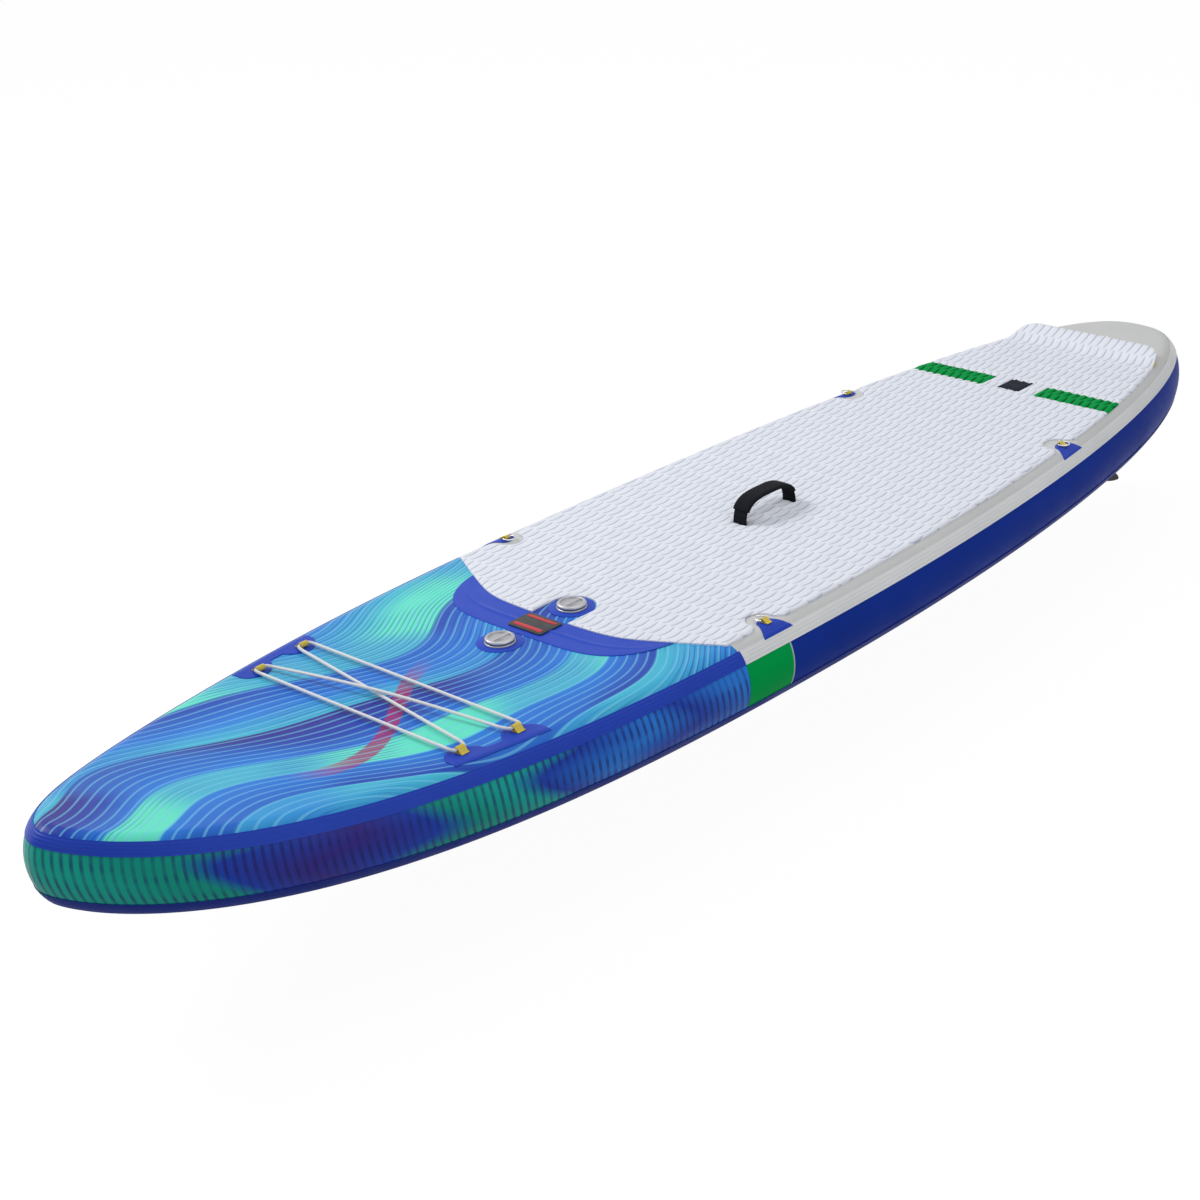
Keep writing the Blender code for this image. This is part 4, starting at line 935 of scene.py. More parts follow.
white_foam = foam("white_grooved_foam", WHITE_FOAM, WHITE_FOAM_PAINTED_SHADE)
green_foam = foam("green_grooved_foam", GREEN_FOAM, GREEN_FOAM_PAINTED_SHADE, GREEN_PAINTED_SHADE_WIDTH)
dark_foam = foam("charcoal_foam", DARK_FOAM)
yellow_foam = foam("yellow_foam_core", YELLOW_FOAM)
print("grooves", SCALE_LENGTH, "by", SCALE_PITCH)

# %% [markdown]
# Bump alone would not show the grooves in the mesh, so they are real. A grid primitive has straight rows,
# and a straight row can't press a curved groove cleanly, so this sheet's points are worked out: its rows
# bend with the grooves, and those along a groove are pressed down. The sheet is then trimmed to an outline,
# and its cut rim is rolled over.

# %% Foam sheet
PAD = 0.005
PAD_BEND = 0.042
KICK_START_X = -1.350
PAD_REAR_X = -1.42
KICK_HEIGHT = 0.026
SUNK = 0.004
SUNK_ON_KICK = 0.001
COLUMN_STEPS = 8
ROW_STEPS = 8


def kick(x):
    part = min(1.0, max(0.0, (KICK_START_X - x) / (KICK_START_X - PAD_REAR_X)))
    return KICK_HEIGHT * part * part * (3.0 - 2.0 * part)


def pad_low(x, y=0.0):
    """The pad lies on the deck and bends with its shoulder."""
    edge = half_width(x)
    inset = (edge - abs(y)) / max(1e-6, edge - half_width(x, RAIL_DEPTH)) * RAIL_DEPTH
    return deck(x, max(PAD_BEND, inset)) + LAID_GAP + kick(x)


def pad_under(x):
    """The sheet's hidden underside: sunk into the deck, and close above the core of the kick."""
    return pad_low(x) - mix(SUNK, SUNK_ON_KICK, min(1.0, kick(x) / SUNK))


def scale_arch(part):
    """How far a groove bows to port along its length, its peak past the middle."""
    return SCALE_RISE * math.sin(math.pi * part ** SCALE_LEAN)


def column_x(column):
    return SCALE_START_X + column * SCALE_LENGTH / COLUMN_STEPS


def row_y(row, part):
    return row * SCALE_PITCH / ROW_STEPS + scale_arch(part)


print("pad", PAD, "thick, kick", KICK_HEIGHT, "high")

# %% Grooved sheet
# How deep a groove is along its row, and one and two rows beside it.
PRESSED = {0: 1.0, 1: 0.38, 2: 0.06}


def grooved_points(columns, rows, depth):
    """The sheet's top, column by column, and then the two long edges of its underside."""
    points = []
    for column in columns:
        scale_column, within = divmod(column, COLUMN_STEPS)
        part = within / COLUMN_STEPS
        x = column_x(column)
        fade = math.sin(math.pi * part) ** SCALE_FADE if part > 0 else 0.0
        for row in rows:
            step_in = (row + scale_column % 2 * ROW_STEPS // 2) % ROW_STEPS
            press = PRESSED.get(min(step_in, ROW_STEPS - step_in), 0.0)
            y = row_y(row, part)
            points.append((x, y, pad_low(x, y) + PAD - depth * fade * press))
    for column in columns:
        x = column_x(column)
        part = column % COLUMN_STEPS / COLUMN_STEPS
        points += [(x, row_y(row, part), pad_under(x)) for row in (rows[0], rows[-1])]
    return points


def grooved_faces(count, across):
    """Faces over the top, under the sheet and round its four sides."""
    base = count * across
    faces = []
    for i in range(count - 1):
        for k in range(across - 1):
            spot = i * across + k
            faces.append((spot, spot + across, spot + across + 1, spot + 1))
        under = base + 2 * i
        faces.append((under, under + 1, under + 3, under + 2))
        faces.append((i * across, under, under + 2, (i + 1) * across))
        faces.append((i * across + across - 1, (i + 2) * across - 1, under + 3, under + 1))
    last = base + 2 * count
    faces.append((base, *range(across), base + 1))
    faces.append((last - 2, last - 1, *range(base - 1, base - across - 1, -1)))
    return faces


def foam_sheet(name, x_low, x_high, y_low, y_high, depth, cutter):
    """A grooved sheet over a rectangle, trimmed to the cutter."""
    first = math.floor((x_low - SCALE_START_X) / SCALE_LENGTH) - 1
    last = math.ceil((x_high - SCALE_START_X) / SCALE_LENGTH) + 1
    low_row = math.floor((y_low - SCALE_RISE) / SCALE_PITCH) - 1
    high_row = math.ceil(y_high / SCALE_PITCH) + 1
    columns = range(first * COLUMN_STEPS, last * COLUMN_STEPS + 1)
    rows = range(low_row * ROW_STEPS, high_row * ROW_STEPS + 1)
    faces = grooved_faces(len(columns), len(rows))
    piece = new_piece(name, grooved_points(columns, rows, depth), [], faces)
    edit(OUTWARDS)
    return cut(piece, cutter, "INTERSECT")


print("steps of a groove:", COLUMN_STEPS, "by", ROW_STEPS)

# %% [markdown]
# A hot blade leaves cut foam with a rolled edge, and a Bevel modifier would catch on the grooves that run
# out over the rim. So the points of the sheet's top are lowered by how near they are to the rim, and a
# search tree finds the nearest spot on it.

# %% Rolled rim
RIM_DROP = 0.0022
RIM_ROLL = 0.007
RIM_SAMPLE = 0.001
WALL_LEAN = 0.3
TOP_LEAN = 0.6


def roll_rim(piece):
    """Presses a sheet down towards its cut rim, the edges where its top meets a wall."""
    mesh = bmesh.new()
    mesh.from_mesh(piece.data)
    spots = []
    for edge in mesh.edges:
        leans = sorted(face.normal.z for face in edge.link_faces)
        if len(leans) == 2 and abs(leans[0]) < WALL_LEAN and leans[1] > TOP_LEAN:
            start, end = (point.co.xy.to_3d() for point in edge.verts)
            steps = max(1, round((end - start).length / RIM_SAMPLE))
            spots += [start.lerp(end, t) for t in spread(0.0, 1.0, steps)]
    rim = KDTree(len(spots))
    for i, spot in enumerate(spots):
        rim.insert(spot, i)
    rim.balance()
    tops = [point for point in mesh.verts if any(face.normal.z > TOP_LEAN for face in point.link_faces)]
    for point in tops:
        away = rim.find(point.co.xy.to_3d())[2]
        point.co.z -= RIM_DROP * max(0.0, 1.0 - away / RIM_ROLL) ** 2
    mesh.to_mesh(piece.data)
    mesh.free()
    return piece


print("rim rolls over", RIM_ROLL)

# %% [markdown]
# The pad's outline follows the rail, with rounded rear corners and a front edge that bends back to each
# side. Arcs and rules give its points. Where the front edge meets the side is found by a short search
# outwards.

# %% Pad outline
PAD_INSET = 0.047
PAD_CORNER = 0.036
PAD_FRONT_X = 0.453
FRONT_BEND_Y = 0.170
FRONT_BLEND = 0.050
FRONT_SLOPE = 0.565
CORNER_SEARCH = (0.350, 0.0002)
FRONT_MIDDLE = 0.002


def pad_edge(x):
    back = max(0.0, PAD_CORNER - (x - PAD_REAR_X))
    return half_width(x, PAD_INSET) - PAD_CORNER + math.sqrt(PAD_CORNER ** 2 - back ** 2)


def front_edge(y):
    past = abs(y) - FRONT_BEND_Y
    return PAD_FRONT_X - FRONT_SLOPE * (past + math.hypot(past, FRONT_BLEND)) / 2


def both_sides(points):
    return points + [(x, -y) for x, y in reversed(points)]


def pad_outline():
    corner = [PAD_REAR_X + PAD_CORNER * (1.0 - math.cos(t)) for t in spread(0.0, math.pi / 2, 12)]
    front_y, nudge = CORNER_SEARCH
    while pad_edge(front_edge(front_y)) > front_y:
        front_y += nudge
    stations = corner + spread(corner[-1], front_edge(front_y), 90)[1:]
    side = [(x, pad_edge(x)) for x in stations]
    front = [(front_edge(y), y) for y in spread(front_y, FRONT_MIDDLE, 60)[1:]]
    return both_sides(side + front)


print("pad outline", len(pad_outline()), "points")

# %% [markdown]
# What the pad leaves open is drawn as outlines too: bays round the rings and the rear valve, beds for the
# stripes and the square, and slots for the handle's strap. The trimming block is a prism with few faces, so
# they are all cut from it first, and the heavy grooved sheet is then cut only once.

# %% Openings in the pad
RING_INSET = 0.060
RING_X = {"front": 0.222, "rear": -0.848}
NOTCH_RADIUS = 0.030
NOTCH_DEPTH = 0.0385
NOTCH_MOUTH = 0.100
NOTCH_RUN = 1.6
BAY_RADIUS = 0.049
BAY_MOUTH = 0.05
STRIPE_X = -1.095
STRIPE_WIDTH = 0.060
STRIPE_INNER = 0.072
SQUARE = (-1.098, 0.060, 0.058)
SLOTS_X = (-0.117, -0.273)
SLOT = (0.0075, 0.0352)
TOOTH = 0.006
FIT = 0.0004
SIDES = (("port", 1), ("starboard", -1))


def inward(x, side, step=0.001):
    """The turn that points across the board from a spot near its rail."""
    slope = (half_width(x + step, RING_INSET) - half_width(x - step, RING_INSET)) / (2 * step)
    return math.atan2(-side, slope) - math.pi / 2


def place_by_ring(points, x, side):
    """Turns points given from a ring's bar, +y inwards, to the deck's plan."""
    spin = inward(x, side)
    y = side * half_width(x, RING_INSET)
    cos, sin = math.cos(spin), math.sin(spin)
    return [(x + a * cos - b * sin, y + a * sin + b * cos) for a, b in points]


def notch_outline():
    radius = NOTCH_RADIUS
    middle = NOTCH_DEPTH - NOTCH_RADIUS
    fall = middle + RING_INSET - PAD_INSET
    flare = NOTCH_MOUTH / 2 - NOTCH_RADIUS
    arm = [(radius + flare * t ** 2, middle - fall * t) for t in spread(NOTCH_RUN, 0.0, 16)]
    arc = [(radius * math.cos(t), middle + radius * math.sin(t)) for t in spread(0.0, math.pi, 30)]
    return arm[:-1] + arc + [(-a, b) for a, b in reversed(arm[:-1])]


def scallop(x, y, reach):
    """The stripe's long edges follow the grooves, in small teeth one groove apart."""
    tooth = (y / SCALE_PITCH) % 1.0
    return x + reach * (tooth - 0.5)


def toothed(x, length, y_low, y_high, grow, side=1):
    """A patch of the pad between two toothed edges."""
    ends = length / 2 + grow
    ys = spread(y_low - grow, y_high, 90)
    fore = [(scallop(x + ends, y, TOOTH), side * y) for y in ys]
    aft = [(scallop(x - ends, y, TOOTH), side * y) for y in reversed(ys)]
    return fore + aft


def stripe_outline(side, grow):
    return toothed(STRIPE_X, STRIPE_WIDTH, STRIPE_INNER, WIDTH / 2, grow, side)


def square_outline(grow):
    x, length, width = SQUARE
    return toothed(x, length, -width / 2, width / 2 + grow, grow)


def rectangle(x, length, width):
    a, b = length / 2, width / 2
    return [(x + a, b), (x - a, b), (x - a, -b), (x + a, -b)]


print("tie-down rings at", RING_X)

# %% Trimming block
BLOCK = (0.10, 0.30)
THROUGH = (0.0, 0.4)


def valve_bay():
    x = VALVES["rear"]
    arc = [(x - BAY_RADIUS * math.sin(t), -BAY_RADIUS * math.cos(t)) for t in spread(0.0, math.pi, 40)]
    mouth = PAD_FRONT_X + BAY_MOUTH
    return arc + [(mouth, BAY_RADIUS), (mouth, -BAY_RADIUS)]


openings = [valve_bay()]
for x in RING_X.values():
    openings += [place_by_ring(notch_outline(), x, side) for _, side in SIDES]
openings += [stripe_outline(side, FIT) for _, side in SIDES]
openings.append(square_outline(FIT))
openings += [rectangle(x, *SLOT) for x in SLOTS_X]
block = prism("pad_block", pad_outline(), *BLOCK)
for outline in openings:
    cut(block, prism("opening", outline, *THROUGH))
print("trimming block", len(block.data.polygons), "faces")

# %% Deck pad
GROOVE = 0.0017
PAD_REACH = 0.36
SOFT_SHARP = 50.0
pad = foam_sheet("deck_pad_foam", PAD_REAR_X, PAD_FRONT_X, -PAD_REACH, PAD_REACH, GROOVE, block)
roll_rim(pad)
dress(pad, white_foam, "board", "pad_foam", "deck_pad", sharp=SOFT_SHARP)

# %% [markdown]
# At the tail the pad climbs over a kick, a wedge of yellow foam whose sides show under the pad's edge. It
# is a box section drawn along the kick: a grid wrapped round the section, with its two ends filled.

# %% Kick core
CORE_COLUMNS = 28
CORE_ROWS = 20
CORE_START = 0.008
# Each side takes this share of the way round the section.
CORE_SIDE = 0.1
CORE_GAP = 0.0004


def core_point(u, v):
    x = mix(KICK_START_X - CORE_START, PAD_REAR_X + CORE_GAP, u)
    half_turn, over = (v, False) if v < 0.5 else (v - 0.5, True)
    across = min(1.0, half_turn / (0.5 - CORE_SIDE))
    climb = max(0.0, half_turn - (0.5 - CORE_SIDE)) / CORE_SIDE
    y = (pad_edge(x) - CORE_GAP) * (2.0 * across - 1.0) * (-1.0 if over else 1.0)
    low = pad_low(x, y) - kick(x)
    high = pad_low(x, y) - 2 * CORE_GAP
    return x, y, mix(high, low, climb) if over else mix(low, high, climb)


core_block = lay("kick_core", CORE_COLUMNS, CORE_ROWS, core_point)
close_ends()
dress(core_block, yellow_foam, "board", "pad_foam", "kick_wedge", sharp=40.0)

# %% [markdown]
# Two green stripes and a dark square are let into the pad as foam of their own. They carry the same
# grooves, deeper in the stripes and shallower in the square. Their edges across the board are toothed,
# because they follow the grooves.

# %% Inlays
INLAY_GROOVE = 0.0030
SQUARE_GROOVE = 0.0008
STRIPE_OUTER = 0.29
SQUARE_REACH = 0.04


def inlay(name, look, slot, node, middle, reach, across, depth, trim):
    """A grooved patch of the pad, middle and reach along the board, across from one side to the other."""
    piece = foam_sheet(name, middle - reach, middle + reach, *across, depth, trim)
    roll_rim(piece)
    dress(piece, look, "board", slot, node, sharp=SOFT_SHARP)


for name, side in SIDES:
    trim = prism("stripe_trim", stripe_outline(side, 0.0), *BLOCK)
    cut(trim, prism("pad_trim", pad_outline(), *THROUGH), "INTERSECT")
    across = (STRIPE_INNER, STRIPE_OUTER) if side > 0 else (-STRIPE_OUTER, -STRIPE_INNER)
    inlay(f"green_inlay_{name}", green_foam, "green_foam", f"green_stripe_{name}",
          STRIPE_X, STRIPE_WIDTH, across, INLAY_GROOVE, trim)
trim = prism("square_trim", square_outline(0.0), *BLOCK)
inlay("dark_inlay", dark_foam, "dark_foam", "dark_square",
      SQUARE[0], SQUARE_REACH, (-SQUARE_REACH, SQUARE_REACH), SQUARE_GROOVE, trim)

# %% [markdown]
# Patches are cut from coated sheet and glued down. Each is a grid laid on the deck with its own outline.
# The yoke wraps the pad's front edge and has a welded crease along its middle; the ring patches run out
# over the shoulder onto the seam tape, and the bungee's stop short of it.

# %% Yoke patch
YOKE_FRONT_X = 0.536
YOKE_HALF_SPAN = 0.270
YOKE_POWER = 5.0
YOKE_ROOT = 1.4
CREASE = 0.0020
CREASE_WIDTH = 0.05
YOKE_EDGE = 0.0006
YOKE_ROLL = 0.25
YOKE_SHEET = 0.9 * PATCH
YOKE_GRID = (120, 28)
PATCH_RADIUS = 0.046
PATCH_SIDES = 72


def yoke_point(u, v):
    part = math.sin(math.pi * (u - 0.5))
    y = YOKE_HALF_SPAN * part
    rear = front_edge(y) + FIT
    tip = front_edge(YOKE_HALF_SPAN) + FIT
    front = tip + (YOKE_FRONT_X - tip) * (1.0 - abs(part) ** YOKE_POWER) ** (1.0 / YOKE_ROOT)
    crease = math.exp(-((v - 0.5) / CREASE_WIDTH) ** 2) * (1.0 - part ** 2)
    rim = math.sin(math.pi * v) ** YOKE_ROLL
    height = THICKNESS + LAID_GAP + PATCH - YOKE_EDGE * (1.0 - rim) + CREASE * crease
    return mix(rear, max(front, rear), v), y, height + rocker(rear)


yoke = lay("yoke_skin", *YOKE_GRID, yoke_point)
thicken(yoke, YOKE_SHEET)
for x in VALVES.values():
    drill(yoke, (x, 0.0, THICKNESS), PATCH_RADIUS + FIT, DRILL, PATCH_SIDES)
dress(yoke, yoke_pvc, "board", "blue_patch", "yoke_patch")

# %% [markdown]
# The tie-down rings sit on small patches with hollow sides. The bungee's patches are wider, with a hump
# under each loop and a valley between. A patch is a grid whose rows step inwards over the shoulder to the
# deck.

# %% Shoulder patches
RING_BASE = 0.083
RING_TIP = 0.036
RING_INNER = 0.072
RING_BOW = 0.008
RING_LAP = 0.005
RING_HOLLOW = 1.25
RING_GRID = (28, 28)
PAST_TAPE = 1.0
TAPE_INSET = rail_point(TAPE_ANGLES[1] + PAST_TAPE)[0]
TAPE_CLIMB = 0.004
PATCH_SHEET = 0.8 * PATCH
RIM_LOW = 0.55
RIM_RATE = 12.0
BUNGEE_X = {"front": 0.947, "rear": 0.827}
BUNGEE_INSET = 0.087
BUNGEE_OUTER = 0.044
BUNGEE_MARGIN = 0.042
BUNGEE_VALLEY = 0.070
BUNGEE_HUMP = 0.036
HUMP_ROUND = 0.75
BUNGEE_GRID = (84, 30)


def patch_point(x, inset, side, rim):
    over_tape = TAPE * min(1.0, max(0.0, (TAPE_INSET + TAPE_CLIMB - inset) / TAPE_CLIMB))
    height = deck(x, inset) + LAID_GAP + PATCH * mix(RIM_LOW, 1.0, rim) + over_tape
    return x, side * half_width(x, inset), height


def rim_fade(*edges):
    """0 on a patch's edge and 1 a little way in."""
    return min(1.0, RIM_RATE * min(edges))


def ring_patch(name, x, side):
    def place(u, v):
        wide = 2.0 * u - 1.0
        inset = mix(TAPE_INSET - RING_LAP, RING_INNER - RING_BOW * wide ** 2, v)
        reach = mix(RING_TIP, RING_BASE, (1.0 - v) ** RING_HOLLOW) / 2
        return patch_point(x + wide * reach, inset, side, rim_fade(u, 1.0 - u, v, 1.0 - v))

    return thicken(lay(name, *RING_GRID, place), PATCH_SHEET)


def bungee_patch(name, side):
    middle = (BUNGEE_X["front"] + BUNGEE_X["rear"]) / 2
    span = BUNGEE_X["front"] - BUNGEE_X["rear"]
    reach = span / 2 + BUNGEE_MARGIN

    def place(u, v):
        off = (2.0 * u - 1.0) * reach
        away = abs(abs(off) - span / 2)
        hump = BUNGEE_VALLEY + BUNGEE_HUMP * max(0.0, 1.0 - (away / BUNGEE_MARGIN) ** 2) ** HUMP_ROUND
        rim = rim_fade(u, 1.0 - u, v, 1.0 - v)
        return patch_point(middle + off, mix(BUNGEE_OUTER, hump, v), side, rim)

    return thicken(lay(name, *BUNGEE_GRID, place), PATCH_SHEET)


for side_name, side in SIDES:
    for end in RING_X:
        label = f"{end}_{side_name}"
        patch = ring_patch(f"ring_patch_skin_{label}", RING_X[end], side)
        dress(patch, blue_pvc, "board", "blue_patch", f"ring_patch_{label}")
    patch = bungee_patch(f"bungee_patch_skin_{side_name}", side)
    dress(patch, blue_pvc, "board", "blue_patch", f"bungee_patch_{side_name}")

# %% [markdown]
# The leash ring at the tail has a round patch on the flat of the deck. Its grid is wound round the middle,
# where its first row is merged to a point.

# %% Leash patch
LEASH_X = -1.455
LEASH_RADIUS = 0.030
LEASH_RIM_LOW = 0.6
LEASH_GRID = (64, 16)


def leash_point(u, v):
    turn = 2 * math.pi * u
    radius = LEASH_RADIUS * v
    x = LEASH_X + radius * math.cos(turn)
    height = deck(x) + LAID_GAP + PATCH * mix(LEASH_RIM_LOW, 1.0, rim_fade(1.0 - v))
    return x, radius * math.sin(turn), height


patch = thicken(lay("leash_patch_skin", *LEASH_GRID, leash_point), PATCH_SHEET)
dress(patch, blue_pvc, "board", "blue_patch", "leash_patch")

# %% [markdown]
# The badge on the yoke is a small rubber plate. Its print is left plain: two red bars pressed into the
# black.

# %% Badge
BADGE_X = 0.4895
BADGE = (0.064, 0.089)
BADGE_HEIGHT = 0.003
BADGE_CORNER = 0.006
BADGE_ROUND = 0.0010
BAR_INSET = 0.0075
BAR_SUNK = 0.0004
BAR_PROUD = 0.0005
BAR_CORNER = 0.001
BAR_ROUND = 0.0003
# Each bar's place and its width, as shares of the badge.
BARS = ((0.62, 0.17), (-0.62, 0.13))
RUBBER_BLACK = (0.012, 0.012, 0.015)
RUBBER_RED = (0.50, 0.012, 0.020)
BLACK_DRIFT = (0.2, 60.0)
RED_DRIFT = (0.08, 60.0)
RUBBER_GLOSS = (0.45, 0.6, 90.0)
RUBBER_GRAIN = 900.0
RUBBER_DEPTH = 0.0001
rubber = Finish("black_rubber")
rubber.colour(rubber.mottle(RUBBER_BLACK, *BLACK_DRIFT))
rubber.gloss(*RUBBER_GLOSS)
rubber.bump(rubber.noise(RUBBER_GRAIN), RUBBER_DEPTH)
red_rubber = Finish("red_rubber")
red_rubber.colour(red_rubber.mottle(RUBBER_RED, *RED_DRIFT))
red_rubber.bump(red_rubber.noise(RUBBER_GRAIN), RUBBER_DEPTH)


def rounded(x, length, width, radius, steps=8):
    points = []
    for quarter, (a, b) in enumerate(((1, 1), (-1, 1), (-1, -1), (1, -1))):
        for t in spread(quarter * math.pi / 2, (quarter + 1) * math.pi / 2, steps):
            points.append((
                x + a * (length / 2 - radius) + radius * math.cos(t),
                b * (width / 2 - radius) + radius * math.sin(t),
            ))
    return points


def bevelled(piece, width, segments=3, angle=40.0):
    return apply(piece, "BEVEL", width=width, segments=segments, limit_method="ANGLE",
                 angle_limit=math.radians(angle))


badge_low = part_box("yoke_badge")[0].z
outline = rounded(BADGE_X, *BADGE, BADGE_CORNER)
badge = prism("badge_plate", outline, badge_low, badge_low + BADGE_HEIGHT)
bevelled(badge, BADGE_ROUND)
dress(badge, rubber.material, "board", "black_rubber", "yoke_badge")
badge_top = badge_low + BADGE_HEIGHT
for i, (off, size) in enumerate(BARS):
    x = BADGE_X + off * BADGE[0] / 2
    outline = rounded(x, size * BADGE[0], BADGE[1] - 2 * BAR_INSET, BAR_CORNER, steps=3)
    bar = prism(f"badge_bar_{i}", outline, badge_top - BAR_SUNK, badge_top + BAR_PROUD)
    bevelled(bar, BAR_ROUND, segments=2)
    dress(bar, red_rubber.material, "board", "black_rubber")

# %% [markdown]
# The small hardware shares three finishes: satin plastic with a metal tint, black moulded nylon and
# polished steel. Fine noise breaks up their gloss, as moulding and handling do.

# %% Hardware finishes
SILVER = (0.43, 0.43, 0.45)
SILVER_METAL = 0.55
SILVER_GRAIN = 2200.0
SILVER_DEPTH = 0.00006
NYLON_BLACK = (0.014, 0.014, 0.016)
NYLON_GRAIN = 1500.0
NYLON_DEPTH = 0.00008
NYLON_SHINE = 0.2
STEEL = (0.64, 0.64, 0.62)


def moulded(name, colour, drift, gloss, metallic=0.0):
    """A finish whose colour and gloss drift a little."""
    made = Finish(name, metallic=metallic)
    made.colour(made.mottle(colour, *drift))
    made.gloss(*gloss)
    return made


silver = moulded("satin_silver_plastic", SILVER, (0.05, 80.0), (0.28, 0.42, 120.0), SILVER_METAL)
silver.bump(silver.noise(SILVER_GRAIN), SILVER_DEPTH)
nylon = moulded("black_nylon", NYLON_BLACK, (0.15, 40.0), (0.38, 0.52, 60.0))
nylon.bump(nylon.noise(NYLON_GRAIN), NYLON_DEPTH)
nylon.sockets(Specular_IOR_Level=NYLON_SHINE)
steel = moulded("polished_steel", STEEL, (0.04, 120.0), (0.16, 0.26, 200.0), metallic=1.0)
print(silver.material.name, nylon.material.name, steel.material.name)

# %% [markdown]
# Each air valve shows a round patch and a twist cap of metal-coloured plastic. The cap is turned on the
# lathe, and two moon-shaped pockets leave a bar across it for finger and thumb.

# %% Valve patches and caps
CAP_RADIUS = 0.0295
CAP = 0.0065
POCKET_RADIUS = 0.0222
POCKET = 0.0036
POCKET_ROUND = 0.0014
GRIP_BAR = 0.0090
CAP_ROUND = 0.0003
CAP_MERGED = 2e-5
PATCH_BEVEL = 0.0010
# The cap's edge: how far in from its radius, and up from its foot or down from its top.
CAP_FOOT = ((0.0012, 0.0), (0.0003, 0.0004), (0.0, 0.0014))
CAP_CROWN = (
    (0.0, 0.0036), (0.0005, 0.0022), (0.0016, 0.0010), (0.0032, 0.0002), (0.0044, 0.0), (0.0052, 0.0002),
    (0.0058, 0.0008),
)


def cap_profile(low):
    top = low + CAP
    foot = [(CAP_RADIUS - inset, low + rise) for inset, rise in CAP_FOOT]
    crown = [(CAP_RADIUS - inset, top - fall) for inset, fall in CAP_CROWN]
    return [(0.0, low), *foot, *crown, (0.0, crown[-1][1])]


def patch_profile(low):
    hole = THROAT + FIT
    return [
        (hole, low), (PATCH_RADIUS, low), (PATCH_RADIUS, low + PATCH / 2),
        (PATCH_RADIUS - PATCH_BEVEL, low + PATCH), (hole, low + PATCH),
    ]


def moon(side):
    start = math.asin(GRIP_BAR / 2 / POCKET_RADIUS)
    return [
        (POCKET_RADIUS * math.cos(t), side * POCKET_RADIUS * math.sin(t))
        for t in spread(start, math.pi - start, 36)
    ]


for end, x in VALVES.items():
    ring = lathe(f"valve_patch_skin_{end}", patch_profile(THICKNESS + LAID_GAP))
    dress(shift(ring, x), yoke_pvc, "board", "blue_patch", f"valve_patch_{end}")
    cap_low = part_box(f"valve_cap_{end}")[0].z
    cap = lathe(f"twist_cap_{end}", cap_profile(cap_low))
    for side in (1, -1):
        pocket = prism("pocket", moon(side), cap_low + CAP - POCKET, cap_low + CAP + POCKET)
        cut(cap, bevelled(pocket, POCKET_ROUND))
    bevelled(cap, CAP_ROUND, segments=1, angle=50.0)
    edit(merge(CAP_MERGED))
    body = f"valve_cap_{end}"
    dress(shift(cap, x), silver.material, body, "silver_plastic", body, sharp=30.0)

# %% [markdown]
# Under the cap are the valve's working pieces: a gasket that comes up with the cap, a seat whose web has
# four air holes, and a plunger that lets air out when its button is pressed. They are turned on the same
# lathe.

# %% Valve workings
FLANGE_RADIUS = 0.0302
FLANGE = 0.003
FLANGE_EDGE = 0.4 * FLANGE
BORE = 0.0155
BORE_DEPTH = 0.030
WEB_TOP = 0.017
WEB = 0.003
STEM = 0.0030
STEM_FREE = 0.0004
BUTTON_RADIUS = 0.0064
BUTTON = 0.002
BUTTON_DEPTH = 0.006
BUTTON_ROUND = 0.0006
POPPET_RADIUS = 0.0180
POPPET = 0.003
AIR_HOLES = 4
AIR_HOLE = 0.0032
AIR_HOLE_CIRCLE = 0.0106
AIR_HOLE_START = 0.131
AIR_HOLE_SIDES = 24
SEAT_OUTER = 0.019
GASKET_RADIUS = 0.0288
GASKET = 0.0012
GASKET_ROUND = spread(-math.pi / 2, math.pi / 2, 6)
SEAT_GAP = 0.0003


def seat_profile(base):
    web_low = WEB_TOP + WEB
    points = [
        (FLANGE_RADIUS, 0.0), (FLANGE_RADIUS, FLANGE - FLANGE_EDGE), (FLANGE_RADIUS - FLANGE_EDGE, FLANGE),
        (BORE, FLANGE), (BORE, -WEB_TOP), (STEM + STEM_FREE, -WEB_TOP), (STEM + STEM_FREE, -web_low),
        (BORE, -web_low), (BORE, -BORE_DEPTH), (SEAT_OUTER, -BORE_DEPTH), (SEAT_OUTER, 0.0),
    ]
    return [(radius, base + z) for radius, z in points]


def plunger_profile(base):
    top = FLANGE - BUTTON_DEPTH
    seat = -BORE_DEPTH - SEAT_GAP
    points = [
        (0.0, top), (BUTTON_RADIUS - BUTTON_ROUND, top), (BUTTON_RADIUS, top - BUTTON_ROUND),
        (BUTTON_RADIUS, top - BUTTON), (STEM, top - BUTTON), (STEM, seat), (POPPET_RADIUS, seat),
        (POPPET_RADIUS, seat - POPPET), (0.0, seat - POPPET),
    ]
    return [(radius, base + z) for radius, z in points]


def gasket_profile(low):
    """A flat ring whose outer and inner edges are round."""
    half = GASKET / 2
    edge = [(half * (1.0 - math.cos(t)), low + half * (1.0 + math.sin(t))) for t in GASKET_ROUND]
    outer = [(GASKET_RADIUS - inset, z) for inset, z in edge]
    return outer + [(SEAT_OUTER + inset, z) for inset, z in reversed(edge)]


